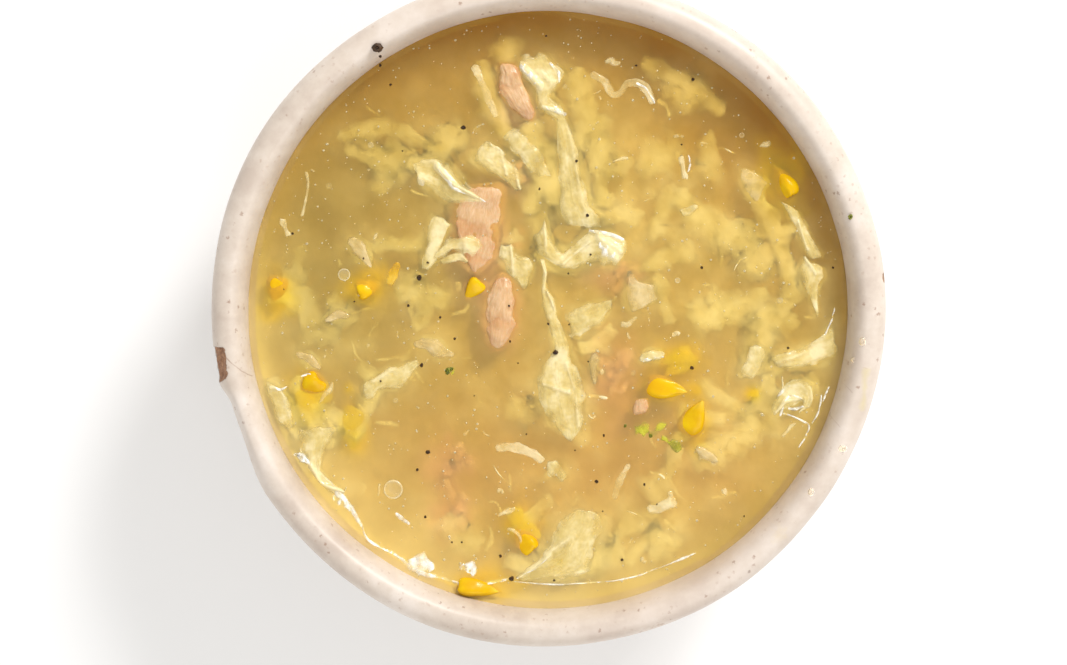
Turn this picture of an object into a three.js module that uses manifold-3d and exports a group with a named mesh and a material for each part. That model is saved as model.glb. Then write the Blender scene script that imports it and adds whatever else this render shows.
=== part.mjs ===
// A bowl of chicken and vegetable soup, seen from above in use.
// A thick stoneware bowl with a chip in its rim holds cloudy broth almost to the brim. Torn cabbage,
// shredded chicken, sweetcorn kernels and thin strands float in the broth and break its surface.
// Millimetres, +Z up. The origin is on the table, under the middle of the bowl.
import * as THREE from "three";
import { mergeVertices } from "three/addons/utils/BufferGeometryUtils.js";
import Module from "manifold-3d";

const wasm = await Module();
wasm.setup();

// ---- Driving dimensions -------------------------------------------------------------------------
const rimRadius = 80; // outermost edge of the rim
const mouthRadius = 73; // inside of the rim
const bowlHeight = 64;
const footRadius = 42;
const brothDrop = 7.5; // from the top of the rim down to the broth
const gap = 0.3; // clear space kept between separate pieces

// ---- Dimensions that follow from them -----------------------------------------------------------
const brothLevel = bowlHeight - brothDrop;
const footHeight = 4.5;
const footWidth = 6;
const footRound = 0.8;
const rimOuterRound = 4.5;
const rimInnerRound = 2.2;
const floorHeight = footHeight + 6; // top of the bowl's floor
const floorRadius = footRadius - 8; // flat part of the floor
const straightWallFrom = bowlHeight - 12; // the inside wall is upright above this
const roundSteps = 48; // facets round the bowl

// ---- Small helpers ------------------------------------------------------------------------------
const degrees = Math.PI / 180;

/** A repeatable source of numbers from 0 to 1. */
function seeded(seed) {
  let state = seed;
  return () => {
    state = (state * 1664525 + 1013904223) % 4294967296;
    return state / 4294967296;
  };
}

/** Points of an arc round (x, y), from one angle to another, both in degrees. */
function arc(x, y, radiusX, radiusY, from, to, steps) {
  return Array.from({ length: steps + 1 }, (_, i) => {
    const angle = (from + ((to - from) * i) / steps) * degrees;
    return new THREE.Vector2(x + radiusX * Math.cos(angle), y + radiusY * Math.sin(angle));
  });
}

/** A value read off an evenly spaced list, at a share from 0 to 1 of its length. */
function along(list, share) {
  const place = share * (list.length - 1);
  const before = Math.min(Math.floor(place), list.length - 2);
  return THREE.MathUtils.lerp(list[before], list[before + 1], place - before);
}

/** A profile turned about the upright axis. */
function turned(profile) {
  return new THREE.LatheGeometry(profile, roundSteps).rotateX(90 * degrees);
}

/** A triangle mesh from points and faces. */
function meshOf(points, faces) {
  const geometry = new THREE.BufferGeometry();
  geometry.setAttribute("position", new THREE.Float32BufferAttribute(points.flat(), 3));
  geometry.setIndex(faces.flat());
  return geometry;
}

/** A three.js geometry as a solid that can be joined and cut. */
function solidOf(geometry) {
  const bare = geometry.clone();
  bare.deleteAttribute("normal");
  bare.deleteAttribute("uv");
  const merged = mergeVertices(bare, 1e-3);
  return new wasm.Manifold(
    new wasm.Mesh({
      numProp: 3,
      vertProperties: merged.attributes.position.array,
      triVerts: new Uint32Array(merged.index.array),
    }),
  );
}

/** A solid back as a three.js geometry. */
function geometryOf(solid) {
  const mesh = solid.getMesh();
  const geometry = new THREE.BufferGeometry();
  geometry.setAttribute("position", new THREE.BufferAttribute(mesh.vertProperties, 3));
  geometry.setIndex(new THREE.BufferAttribute(mesh.triVerts, 1));
  geometry.computeVertexNormals();
  return geometry;
}

// ---- The bowl -----------------------------------------------------------------------------------
/** The inside of the bowl, from the middle of its floor up to a height, drawn in by an inset. */
function insideProfile(inset, top) {
  const floor = floorHeight + inset;
  const corner = arc(
    floorRadius,
    straightWallFrom,
    mouthRadius - inset - floorRadius,
    straightWallFrom - floor,
    -90,
    0,
    5,
  );
  return [new THREE.Vector2(0, floor), ...corner, new THREE.Vector2(mouthRadius - inset, top)];
}

/** How far the hand-thrown outside stands off a true circle at a bearing. */
function thrownError(bearing) {
  return 0.2 * Math.sin(3 * bearing + 0.6) + 0.12 * Math.sin(7 * bearing + 2);
}

/** The shell of the bowl: foot ring, swelling side, thick rounded rim and smooth inside. */
function bowlShell() {
  const footInner = footRadius - footWidth;
  const outside = [
    new THREE.Vector2(0, footHeight),
    new THREE.Vector2(footInner - footRound, footHeight),
    new THREE.Vector2(footInner, 0),
    new THREE.Vector2(footRadius - footRound, 0),
    new THREE.Vector2(footRadius, footRound),
    ...arc(
      footRadius,
      bowlHeight - rimOuterRound,
      rimRadius - footRadius,
      bowlHeight - rimOuterRound - footHeight,
      -90,
      0,
      8,
    ),
  ];
  const rimOutside = arc(
    rimRadius - rimOuterRound,
    bowlHeight - rimOuterRound,
    rimOuterRound,
    rimOuterRound,
    18,
    90,
    4,
  );
  const rimInside = arc(
    mouthRadius + rimInnerRound,
    bowlHeight - rimInnerRound,
    rimInnerRound,
    rimInnerRound,
    90,
    162,
    3,
  );
  const inside = insideProfile(0, bowlHeight - rimInnerRound).reverse();
  const shell = turned([...outside, ...rimOutside, ...rimInside, ...inside]);
  const places = shell.attributes.position;
  for (let i = 0; i < places.count; i++) {
    const radius = Math.hypot(places.getX(i), places.getY(i));
    const bearing = Math.atan2(places.getY(i), places.getX(i));
    const share = THREE.MathUtils.smoothstep(radius, mouthRadius + 2, rimRadius);
    const grow = 1 + (share * thrownError(bearing)) / rimRadius;
    places.setXY(i, places.getX(i) * grow, places.getY(i) * grow);
  }
  return solidOf(shell);
}

/** The scoop that a knock took out of the rim's outer edge. */
const chip = { bearing: 188.9, length: 11.3, bite: 2.8, below: 3, flatten: 0.65 };

function chipScoop() {
  const half = chip.length / 2;
  const radius = (half * half + chip.bite * chip.bite) / (2 * chip.bite);
  const scoop = new THREE.IcosahedronGeometry(radius, 2);
  const random = seeded(7);
  const rough = mergeVertices(scoop.deleteAttribute("normal").deleteAttribute("uv"), 1e-3);
  const places = rough.attributes.position;
  for (let i = 0; i < places.count; i++) {
    const swell = 1 + 0.06 * (random() - 0.5);
    places.setXYZ(i, places.getX(i) * swell, places.getY(i) * swell, places.getZ(i) * swell);
  }
  rough.scale(1, 1, chip.flatten);
  const reach = rimRadius - chip.bite + radius;
  const bearing = chip.bearing * degrees;
  rough.translate(reach * Math.cos(bearing), reach * Math.sin(bearing), bowlHeight - chip.below);
  return solidOf(rough);
}

// ---- Torn leaves and strands --------------------------------------------------------------------
/**
 * A torn leaf or a strand: a thin wavy solid along a spine seen from above.
 * spine: [x, y, width] of places along it. rise: height of its middle over the broth.
 * ripple and waves: height and number of its folds. curl: how far its edges lift, or droop if below 0.
 * jag: how ragged its torn edges are. grow: extra size all round, for the room that it needs.
 */
function leaf({
  spine,
  rise = 0.5,
  ripple = 0.3,
  waves = 1.2,
  curl = -0.2,
  jag = 0.35,
  thickness = 0.7,
  steps = 7,
  across = 2,
  seed = 1,
  grow = 0,
}) {
  const random = seeded(seed);
  const line = new THREE.SplineCurve(spine.map(([x, y]) => new THREE.Vector2(x, y)));
  const widths = spine.map(([, , width]) => width);
  const upper = [];
  const lower = [];
  for (let i = 0; i <= steps; i++) {
    const share = i / steps;
    const ahead = line.getTangent(share);
    const middle = line.getPoint(share);
    if (i === 0) middle.addScaledVector(ahead, -grow);
    if (i === steps) middle.addScaledVector(ahead, grow);
    const torn = [-1, 1].map(() => 1 + jag * (random() - 0.5));
    for (let j = 0; j <= across; j++) {
      const side = (2 * j) / across - 1;
      const reach = ((along(widths, share) / 2) * torn[side < 0 ? 0 : 1] + grow) * side;
      const x = middle.x - ahead.y * reach;
      const y = middle.y + ahead.x * reach;
      const fold = ripple * Math.sin(2 * Math.PI * waves * share + 1.3 * side + seed);
      const z = brothLevel + rise + fold + curl * side * side;
      upper.push([x, y, z + thickness / 2]);
      lower.push([x, y, z - thickness / 2]);
    }
  }
  const columns = across + 1;
  const at = (i, j) => i * columns + j;
  const below = upper.length;
  const faces = [];
  for (let i = 0; i < steps; i++) {
    for (let j = 0; j < across; j++) {
      const [a, b, c, d] = [at(i, j), at(i + 1, j), at(i + 1, j + 1), at(i, j + 1)];
      faces.push([a, b, c], [a, c, d]);
      faces.push([a + below, c + below, b + below], [a + below, d + below, c + below]);
    }
  }
  const edge = [];
  for (let i = 0; i < steps; i++) edge.push(at(i, 0));
  for (let j = 0; j < across; j++) edge.push(at(steps, j));
  for (let i = steps; i > 0; i--) edge.push(at(i, across));
  for (let j = across; j > 0; j--) edge.push(at(0, j));
  edge.forEach((a, i) => {
    const b = edge[(i + 1) % edge.length];
    faces.push([a, a + below, b + below], [a, b + below, b]);
  });
  return {
    geometry: meshOf([...upper, ...lower], faces),
    bottom: Math.min(...lower.map((point) => point[2])),
  };
}

/** The room that a floating leaf needs in the broth: an upright hole a little larger than it. */
function leafPocket(shape) {
  const { geometry, bottom } = leaf({ ...shape, grow: 1.5 * gap });
  const places = geometry.attributes.position;
  const upper = places.count / 2;
  for (let i = 0; i < places.count; i++) places.setZ(i, i < upper ? bowlHeight : bottom - gap);
  return solidOf(geometry);
}

// ---- Chicken --------------------------------------------------------------------------------------
/**
 * A shred of cooked chicken: a rounded body drawn along a spine, with grooves between its fibres.
 * spine: [x, y, width] of places along it. rise: height of its middle over the broth.
 * grow: extra size all round, for the room that it needs.
 */
function shred({ spine, height, rise, groove = 0.07, seed = 1, grow = 0 }) {
  const rings = 9;
  const around = 11;
  const random = seeded(seed);
  const line = new THREE.SplineCurve(spine.map(([x, y]) => new THREE.Vector2(x, y)));
  const widths = spine.map(([, , width]) => width);
  const points = [];
  for (let i = 1; i < rings; i++) {
    const share = i / rings;
    const middle = line.getPoint(share);
    const ahead = line.getTangent(share);
    const round = Math.sin(Math.PI * share) ** 0.35;
    const half = (along(widths, share) * round) / 2;
    const lump = 1 + 0.16 * (random() - 0.5);
    for (let j = 0; j < around; j++) {
      const angle = (2 * Math.PI * j) / around;
      const fibre = lump * (1 + groove * Math.sin(5 * angle + seed));
      const reach = (half * fibre + grow) * Math.cos(angle);
      const lift = ((height / 2) * round * fibre + grow) * Math.sin(angle);
      points.push([
        middle.x - ahead.y * reach,
        middle.y + ahead.x * reach,
        brothLevel + rise + lift,
      ]);
    }
  }
  const start = points.length;
  for (const share of [0, 1]) {
    const end = line.getPoint(share).addScaledVector(line.getTangent(share), (2 * share - 1) * grow);
    points.push([end.x, end.y, brothLevel + rise]);
  }
  const faces = [];
  for (let j = 0; j < around; j++) {
    const next = (j + 1) % around;
    faces.push([start, next, j]);
    for (let i = 0; i < rings - 2; i++) {
      const [a, b] = [i * around, (i + 1) * around];
      faces.push([a + j, a + next, b + next], [a + j, b + next, b + j]);
    }
    const last = (rings - 2) * around;
    faces.push([last + j, last + next, start + 1]);
  }
  return meshOf(points, faces);
}

// ---- Sweetcorn ------------------------------------------------------------------------------------
/**
 * A sweetcorn kernel: a flattened tooth, wide at its crown and narrow where it sat on the cob.
 * heading: the way its crown points in plan. pitch: how far the crown tips up. roll: about its length.
 */
function kernel({ at, size, heading, pitch = 0, roll = 0, rise, grow = 0 }) {
  const [length, width, thickness] = size;
  const shape = new THREE.SphereGeometry(1, 10, 8);
  const places = shape.attributes.position;
  for (let i = 0; i < places.count; i++) {
    const [x, y, z] = [places.getX(i), places.getY(i), places.getZ(i)];
    const taper = 0.78 + 0.3 * y - 0.1 * y * y; // narrow at the cob end
    places.setXYZ(
      i,
      y * (length / 2 + grow),
      x * (width / 2 + grow) * taper,
      z * (thickness / 2 + grow) * taper,
    );
  }
  shape.deleteAttribute("normal");
  shape.deleteAttribute("uv");
  return mergeVertices(shape, 1e-3)
    .scale(1, -1, 1)
    .rotateX(roll * degrees)
    .rotateY(-pitch * degrees)
    .rotateZ(heading * degrees)
    .translate(at[0], at[1], brothLevel + rise);
}

// ---- What floats where ----------------------------------------------------------------------------
const cabbage = {
  cabbage_top_fold: {
    spine: [
      [-1.1, 62.3, 7.2], [-1.1, 58.7, 10.5], [-1.6, 53.7, 2.8], [0.8, 49.4, 4.1],
      [3, 43.6, 6.2], [4.9, 34.1, 6.7], [6.6, 24, 6.9], [7.3, 19.5, 4.3],
    ],
    rise: 0.75, ripple: 0.4, waves: 2.2, jag: 0.25, steps: 14, across: 3, seed: 3,
  },
  cabbage_tangle: {
    spine: [[-8.5, 41.9, 4.8], [-5.1, 38.8, 6.6], [-1.7, 35, 4]],
    rise: 0.55, ripple: 0.45, waves: 2.4, jag: 0.3, steps: 8, across: 3, seed: 11,
  },
  cabbage_angular: {
    spine: [[-15.2, 39.8, 4.8], [-12.5, 35.5, 6.2], [-9.4, 31.7, 4.3], [-6.8, 28.3, 1.4]],
    rise: 0.6, ripple: 0.35, jag: 0.25, across: 3, seed: 5,
  },
  cabbage_curl: {
    spine: [[-31, 35.5, 3.3], [-27.6, 34.5, 5.7], [-23.8, 33.1, 5.7], [-20.6, 29.9, 1.2]],
    rise: 0.8, ripple: 0.5, waves: 1.1, curl: 0.4, across: 3, seed: 2,
  },
  cabbage_tapered: {
    spine: [[-24.9, 22.3, 3.8], [-26.4, 18.3, 4.2], [-27.7, 14.5, 3.1], [-29, 10.9, 1]],
    seed: 8,
  },
  cabbage_crumple: {
    spine: [[-9.9, 15.9, 2.4], [-7.5, 13, 5.8], [-5.4, 9.9, 4.6], [-4.2, 6.3, 1.9]],
    rise: 0.6, ripple: 0.45, waves: 1.8, seed: 14,
  },
  cabbage_folded: {
    spine: [[-0.6, 18.8, 4.3], [2, 15.4, 6.2], [7.3, 14.5, 6.4], [13, 15.4, 7], [17.3, 15.7, 4.8]],
    rise: 0.8, ripple: 0.5, waves: 1.7, jag: 0.25, steps: 9, across: 3, seed: 6,
  },
  cabbage_short: {
    spine: [[5.6, -2.3, 3.3], [9.2, -0.1, 7.2], [13, 1.8, 6.5], [15.7, 3.5, 1.9]],
    rise: 0.45, seed: 4,
  },
  cabbage_long: {
    spine: [
      [-1.8, 13.5, 1.2], [-0.8, 6.6, 2.2], [1.1, -0.6, 3.3], [2.5, -7.8, 4.8],
      [2.5, -13.7, 9.6], [3, -19.7, 10.8], [4.2, -25.7, 8.6], [5.4, -31.2, 1.9],
    ],
    rise: 0.65, ripple: 0.35, waves: 2.6, jag: 0.2, steps: 14, across: 3, seed: 9,
  },
  cabbage_bent: {
    spine: [[-43.9, -19, 2.4], [-39.3, -15.7, 5.3], [-34.5, -13.3, 6], [-30.5, -11.4, 3.6]],
    rise: 0.4, seed: 12,
  },
  cabbage_by_wall: {
    spine: [[-67.1, -15.7, 2.9], [-65.2, -20.4, 4.8], [-62.8, -25, 4.8], [-61.3, -27.6, 2.4]],
    waves: 1.5, seed: 15,
  },
  cabbage_low_wall: {
    spine: [[-58, -28.4, 4.6], [-57, -32.9, 5.7], [-54.4, -38.1, 5.3], [-49.6, -42.9, 3.6]],
    rise: 0.4, waves: 2.2, steps: 8, across: 3, seed: 16,
  },
  cabbage_big_leaf: {
    spine: [[-6.8, -64.1, 1.4], [-0.8, -62.2, 5.6], [4.6, -59.6, 11.6], [8, -55.1, 12.2], [11.4, -48, 5.6]],
    rise: 0.65, ripple: 0.35, jag: 0.12, steps: 8, across: 4, seed: 10,
  },
  cabbage_right_strip: {
    spine: [[53.4, -11.4, 3.3], [59.4, -9.7, 4.1], [65.1, -7.3, 4.1], [68.8, -5.6, 2.9]],
    rise: 0.6, ripple: 0.35, seed: 13,
  },
  cabbage_right_scrap: {
    spine: [[49.6, -7.1, 2.9], [49.4, -10.9, 4.6], [48.2, -14.9, 4.8]],
    rise: 0.35, steps: 6, seed: 17,
  },
  cabbage_right_curl: {
    spine: [[54.4, -26.6, 2.2], [55.6, -21.9, 3.8], [58.2, -18, 5.5], [61.3, -18.5, 5.5], [62.7, -21.6, 3.1]],
    rise: 0.75, ripple: 0.45, waves: 2.1, curl: 0.3, steps: 9, across: 3, seed: 18,
  },
  cabbage_side_strip: {
    spine: [[55.8, 26.2, 1.9], [59.2, 21.4, 4.1], [61.8, 16.6, 4.3], [63.5, 13.3, 2.2]],
    rise: 0.4, waves: 1.6, seed: 19,
  },
  cabbage_side_leaf: {
    spine: [[62.5, 9.7, 2.9], [63.5, 4.9, 5.3], [64.2, 0.1, 1.9]],
    rise: 0.4, steps: 6, seed: 20,
  },
  cabbage_glint: {
    spine: [[21.9, -11.1, 1.9], [25, -9.9, 3.1], [28.1, -9.7, 1.4]],
    rise: 0.4, steps: 5, seed: 30,
  },
  cabbage_knot: {
    spine: [[0.4, -36, 2.4], [2, -37.9, 4.1], [4.2, -40.3, 2.2]],
    rise: 0.5, ripple: 0.4, waves: 1.6, steps: 5, seed: 31,
  },
  cabbage_small_curl: {
    spine: [[31.4, 24, 1.9], [33.6, 24.7, 2.9], [35.5, 25.9, 1.4]],
    rise: 0.5, steps: 4, seed: 32,
  },
};

const flakes = {
  flake_right: { spine: [[47.2, 34.5, 2.4], [48.9, 31.2, 5.7], [49.4, 28.3, 3.3], [49.6, 26.4, 1]], seed: 21 },
  flake_centre: { spine: [[19.7, 9.7, 2.4], [22.1, 6.1, 6.7], [24, 2.3, 4.8]], jag: 0.15, seed: 22 },
  flake_left: { spine: [[-31.9, -7.1, 1.2], [-28.6, -7.8, 4.8], [-25.7, -8.5, 5.3], [-22.6, -9.9, 1.9]], seed: 23 },
  flake_curl: { spine: [[11.1, -10.2, 3.3], [10.9, -13.3, 2.4], [10.9, -16.8, 2.4]], seed: 24 },
  flake_upper_left: { spine: [[-47.2, 18, 3.1], [-44.8, 15.2, 3.8], [-42.2, 11.4, 1]], seed: 33 },
  flake_far_left: { spine: [[-52.9, -1.6, 1.2], [-50.1, -0.4, 2.9], [-47.2, -0.4, 1]], seed: 34 },
  flake_by_corn: { spine: [[-60.1, -9.5, 1.2], [-57.2, -10.8, 3], [-54.4, -13.3, 1]], seed: 35 },
  flake_low_right: { spine: [[35.3, -32.1, 1.4], [37.9, -33.6, 3.3], [40.7, -35.5, 1.7]], seed: 36 },
};

const strands = {
  strand_squiggle: {
    spine: [
      [10.2, 57.2, 1.4], [13.4, 55, 2], [15.1, 52.2, 1.7], [17, 52.2, 1.7],
      [19, 54.8, 1.6], [22.6, 54, 2.1], [25, 50, 1.7],
    ],
    steps: 14, jag: 0.2, seed: 25,
  },
  strand_low: { spine: [[-12.5, -32.4, 1.7], [-7.3, -32.1, 2.9], [-1.1, -35.3, 1.7]], seed: 26 },
  strand_right: { spine: [[19.5, -36.4, 1.2], [17.3, -40.5, 2.4], [16.1, -44.8, 1.2]], seed: 27 },
  strand_pale: { spine: [[-17.3, 58.7, 1.7], [-14.9, 53.2, 2.2], [-12.1, 46.7, 1.4]], seed: 28 },
};

const skins = {
  corn_skin: { spine: [[-37.9, 6.6, 1.7], [-36.9, 9.4, 2.9], [-35.7, 12.1, 1.9]], rise: 0.2, seed: 37 },
};

const greens = {
  onion_sliver: { spine: [[29, -30.5, 1.7], [30.5, -31.7, 2.4], [31.9, -33.3, 1.4]], seed: 29 },
};

const chicken = {
  chicken_knob: {
    spine: [[-11.8, 60.3, 3.8], [-10.6, 57.5, 6.5], [-8.7, 53.7, 7.6], [-7.1, 49.8, 6.2], [-4.2, 46, 2.4]],
    height: 5.4, rise: -0.5, seed: 1,
  },
  chicken_large: {
    spine: [
      [-14.2, 32.4, 8.1], [-15.9, 26.9, 12.4], [-15.9, 21.6, 11.9],
      [-16.8, 17.3, 10.5], [-17.1, 13, 10], [-16.8, 9.2, 5.3],
    ],
    height: 6, rise: -1.2, seed: 2,
  },
  chicken_lower: {
    spine: [
      [-11.1, 11.4, 3.3], [-10.6, 6.1, 7.4], [-11.6, 1.6, 9.6],
      [-12.3, -3, 8.6], [-12.1, -7.1, 7.2], [-12.8, -10.6, 1.9],
    ],
    height: 5.6, rise: -0.9, seed: 3,
  },
  chicken_scrap: {
    spine: [[21.6, -24.6, 4.3], [22.3, -22.6, 5], [23.2, -20.9, 4.3]],
    height: 3.4, rise: -0.3, seed: 4,
  },
};

const corn = {
  corn_left: { at: [-42.9, 6.1], size: [7, 5.6, 4], heading: 200, pitch: 12, roll: 20, rise: -0.9 },
  corn_on_chicken: { at: [-18, 5.4], size: [5.6, 5, 3], heading: 50, pitch: 25, roll: 30, rise: -0.1 },
  corn_upper_right: { at: [56, 31.4], size: [9.6, 7, 4.6], heading: -62, pitch: 8, roll: 50, rise: -1 },
  corn_wedge: { at: [28.3, -18], size: [10.6, 6.6, 4.2], heading: 172, pitch: -8, roll: 8, rise: -1 },
  corn_upright: { at: [35.2, -25.2], size: [10, 7, 4.8], heading: 246, pitch: -22, roll: 12, rise: -0.8 },
  corn_bottom: { at: [-5.9, -54.5], size: [9, 5.8, 4.4], heading: -52, pitch: 10, roll: 15, rise: -1 },
  corn_by_wall: { at: [-16.8, -66.6], size: [10, 5.2, 4.6], heading: 172, pitch: 0, roll: 40, rise: -0.9 },
  corn_low_left: { at: [-57.2, -17.6], size: [8.6, 6.6, 4.6], heading: 40, pitch: 16, roll: 15, rise: -1.2 },
  corn_far_left: { at: [-64.8, 5.6], size: [7.6, 6, 4.2], heading: 80, pitch: 6, roll: 10, rise: -1.3 },
};

// ---- Finishes -------------------------------------------------------------------------------------
const finish = (color, roughness) =>
  new THREE.MeshStandardMaterial({ color, roughness, metalness: 0 });
const glaze = finish(0xe9dfd6, 0.3);
const brothFinish = finish(0xcfb169, 0.15);
const cabbageFinish = finish(0xe6da8c, 0.35);
const flakeFinish = finish(0xe2d3a4, 0.35);
const strandFinish = finish(0xe8dba2, 0.35);
const chickenFinish = finish(0xe3b48a, 0.45);
const cornFinish = finish(0xf0bd1c, 0.3);
const greenFinish = finish(0x8f9a34, 0.4);

// ---- Putting it together --------------------------------------------------------------------------
const soup = new THREE.Group();
soup.name = "bowl_of_chicken_vegetable_soup";

function add(name, geometry, material) {
  const mesh = new THREE.Mesh(geometry, material);
  mesh.name = name;
  soup.add(mesh);
}

add("bowl", geometryOf(bowlShell().subtract(chipScoop())), glaze);

const brothTop = new THREE.Vector2(0, brothLevel);
let broth = solidOf(turned([...insideProfile(gap, brothLevel), brothTop]));

const fine = { rise: 0.35, ripple: 0.2, steps: 5 };
const thread = { ...fine, curl: 0, thickness: 0.8, across: 1 };
for (const [kind, common, material] of [
  [cabbage, {}, cabbageFinish],
  [flakes, fine, flakeFinish],
  [strands, thread, strandFinish],
  [skins, fine, cornFinish],
  [greens, fine, greenFinish],
]) {
  for (const [name, shape] of Object.entries(kind)) {
    const whole = { ...common, ...shape };
    add(name, leaf(whole).geometry, material);
    broth = broth.subtract(leafPocket(whole));
  }
}

for (const [kind, build, material] of [
  [chicken, shred, chickenFinish],
  [corn, kernel, cornFinish],
]) {
  for (const [name, shape] of Object.entries(kind)) {
    add(name, build(shape), material);
    broth = broth.subtract(solidOf(build({ ...shape, grow: 1.7 * gap })));
  }
}

add("broth", geometryOf(broth), brothFinish);

export default soup;
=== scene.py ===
# %% [markdown]
# # A bowl of chicken and vegetable soup
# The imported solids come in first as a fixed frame, in metres. Every piece made below stands where its solid
# stands, and rides on the one body that a bowl of soup is. Lengths below are in mm unless a comment says otherwise,
# because kernels and leaves are easier to think of that way.

# %% The frame
import bpy, math
import numpy as np
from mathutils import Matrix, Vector
from mathutils.kdtree import KDTree


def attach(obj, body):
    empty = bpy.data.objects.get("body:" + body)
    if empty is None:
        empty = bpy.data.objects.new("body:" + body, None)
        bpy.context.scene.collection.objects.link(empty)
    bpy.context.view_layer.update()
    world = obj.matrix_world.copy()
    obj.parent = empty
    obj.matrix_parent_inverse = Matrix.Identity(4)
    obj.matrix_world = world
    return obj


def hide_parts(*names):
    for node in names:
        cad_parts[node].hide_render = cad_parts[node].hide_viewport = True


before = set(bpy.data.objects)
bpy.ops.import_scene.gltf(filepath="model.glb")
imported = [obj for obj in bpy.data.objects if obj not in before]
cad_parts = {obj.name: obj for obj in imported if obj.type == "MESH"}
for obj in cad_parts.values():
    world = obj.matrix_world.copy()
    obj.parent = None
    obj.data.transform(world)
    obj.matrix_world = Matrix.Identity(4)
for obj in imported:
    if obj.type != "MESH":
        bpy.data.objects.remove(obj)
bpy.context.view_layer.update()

MM = 0.001
LEVEL = 56.5      # mm, the broth's surface over the table
EDGE = 71.7       # mm, radius where the broth meets the wall
RIM = 80.0        # mm, radius of the outermost edge
TOP = 64.0        # mm, height of the rim
FREE = 67.5       # mm, radius inside which loose scraps lie clear of the wall
WATER = 1.33      # how strongly broth bends light

# %% [markdown]
# ## Small tools
# Lumps, folds and torn edges are all uneven in the same way, at different sizes. They could be sculpted by hand
# or pushed out with a Displace modifier; here one smooth random field is written once and used for all, because
# it gives the same result each time. piece() turns arrays of points and faces into a mesh.

# %% Helpers for shape
def lattice(i, j, k, seed):
    """A random number from -1 to 1 for each corner of a grid."""
    h = (i * 374761393 + j * 668265263 + k * 1442695041 + seed * 974711) & 0xFFFFFFFF
    h = ((h ^ (h >> 13)) * 1274126177) & 0xFFFFFFFF
    return ((h ^ (h >> 16)) & 0xFFFF) / 32767.5 - 1


def noise(points, size, seed=0):
    """Smooth noise from -1 to 1 at points (N, 3), with lumps of about that size."""
    q = np.asarray(points, float) / size + 100
    i = np.floor(q).astype(np.int64)
    f = q - i
    u = f * f * (3 - 2 * f)
    total = 0
    for a in (0, 1):
        for b in (0, 1):
            for c in (0, 1):
                corner = np.array([a, b, c])
                w = np.where(corner, u, 1 - u)
                total = total + w[:, 0] * w[:, 1] * w[:, 2] * lattice(*(i + corner).T, seed)
    return total


def rough(points, size, seed=0, octaves=3):
    """Several sizes of noise together."""
    return sum(noise(points, size / 2**o, seed + 17 * o) / 2**o for o in range(octaves))


def flat(x, y, z=0.0):
    """Arrays of coordinates as points (N, 3)."""
    x, y, z = np.broadcast_arrays(x, y, z)
    return np.stack([x.ravel(), y.ravel(), z.ravel()], 1).astype(float)


def smooth(a, b, x):
    """0 at a and 1 at b, with an easy start and end."""
    t = np.clip((x - a) / (b - a), 0, 1)
    return t * t * (3 - 2 * t)


def piece(name, points, faces, finish, slot, stands_for=(), marks=None):
    """A mesh piece from points in mm. marks: named numbers, or triples, one for each point."""
    mesh = bpy.data.meshes.new(name)
    mesh.from_pydata((np.asarray(points) * MM).tolist(), [], [list(map(int, f)) for f in faces])
    for key, values in (marks or {}).items():
        values = np.asarray(values, np.float32)
        kind = "FLOAT_VECTOR" if values.ndim == 2 else "FLOAT"
        layer = mesh.attributes.new(key, kind, "POINT")
        layer.data.foreach_set("vector" if values.ndim == 2 else "value", values.ravel())
    mesh.shade_smooth()
    mesh.materials.append(finish)
    thing = bpy.data.objects.new(name, mesh)
    bpy.context.collection.objects.link(thing)
    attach(thing, "root")
    if stands_for:
        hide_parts(*stands_for)


def grid_faces(rows, columns, closed=False):
    """Quads of a grid of points stored row by row; closed joins the last column to the first."""
    i, j = np.meshgrid(np.arange(rows - 1), np.arange(columns if closed else columns - 1), indexing="ij")
    k = (j + 1) % columns
    here, below = i * columns, (i + 1) * columns
    return np.stack([here + j, here + k, below + k, below + j], -1).reshape(-1, 4)


def join(parts):
    """Several (points, faces) as one, with the faces of each shifted; faces are lists."""
    points, faces, start = [], [], 0
    for p, f in parts:
        points.append(p)
        faces += [[v + start for v in face] for face in f]
        start += len(p)
    return np.concatenate(points), faces


# %% [markdown]
# ## Small tools for the finishes
# Glaze, leaf, meat and broth each have a node material. Wiring nodes takes many lines, so a Finish has a short
# word for each node that is used often. Colours are read on a screen and turned into the renderer's own numbers.
# What sinks into the broth takes on its colour, and cloudy wet things let some of the lamps' light through.

# %% Helpers for finish
def rgb(r, g, b):
    """A colour read on a screen, 0 to 255, as the renderer's own numbers."""
    linear = lambda c: c / 12.92 if c <= 0.04045 else ((c + 0.055) / 1.055) ** 2.4
    return (linear(r / 255), linear(g / 255), linear(b / 255), 1.0)


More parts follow.
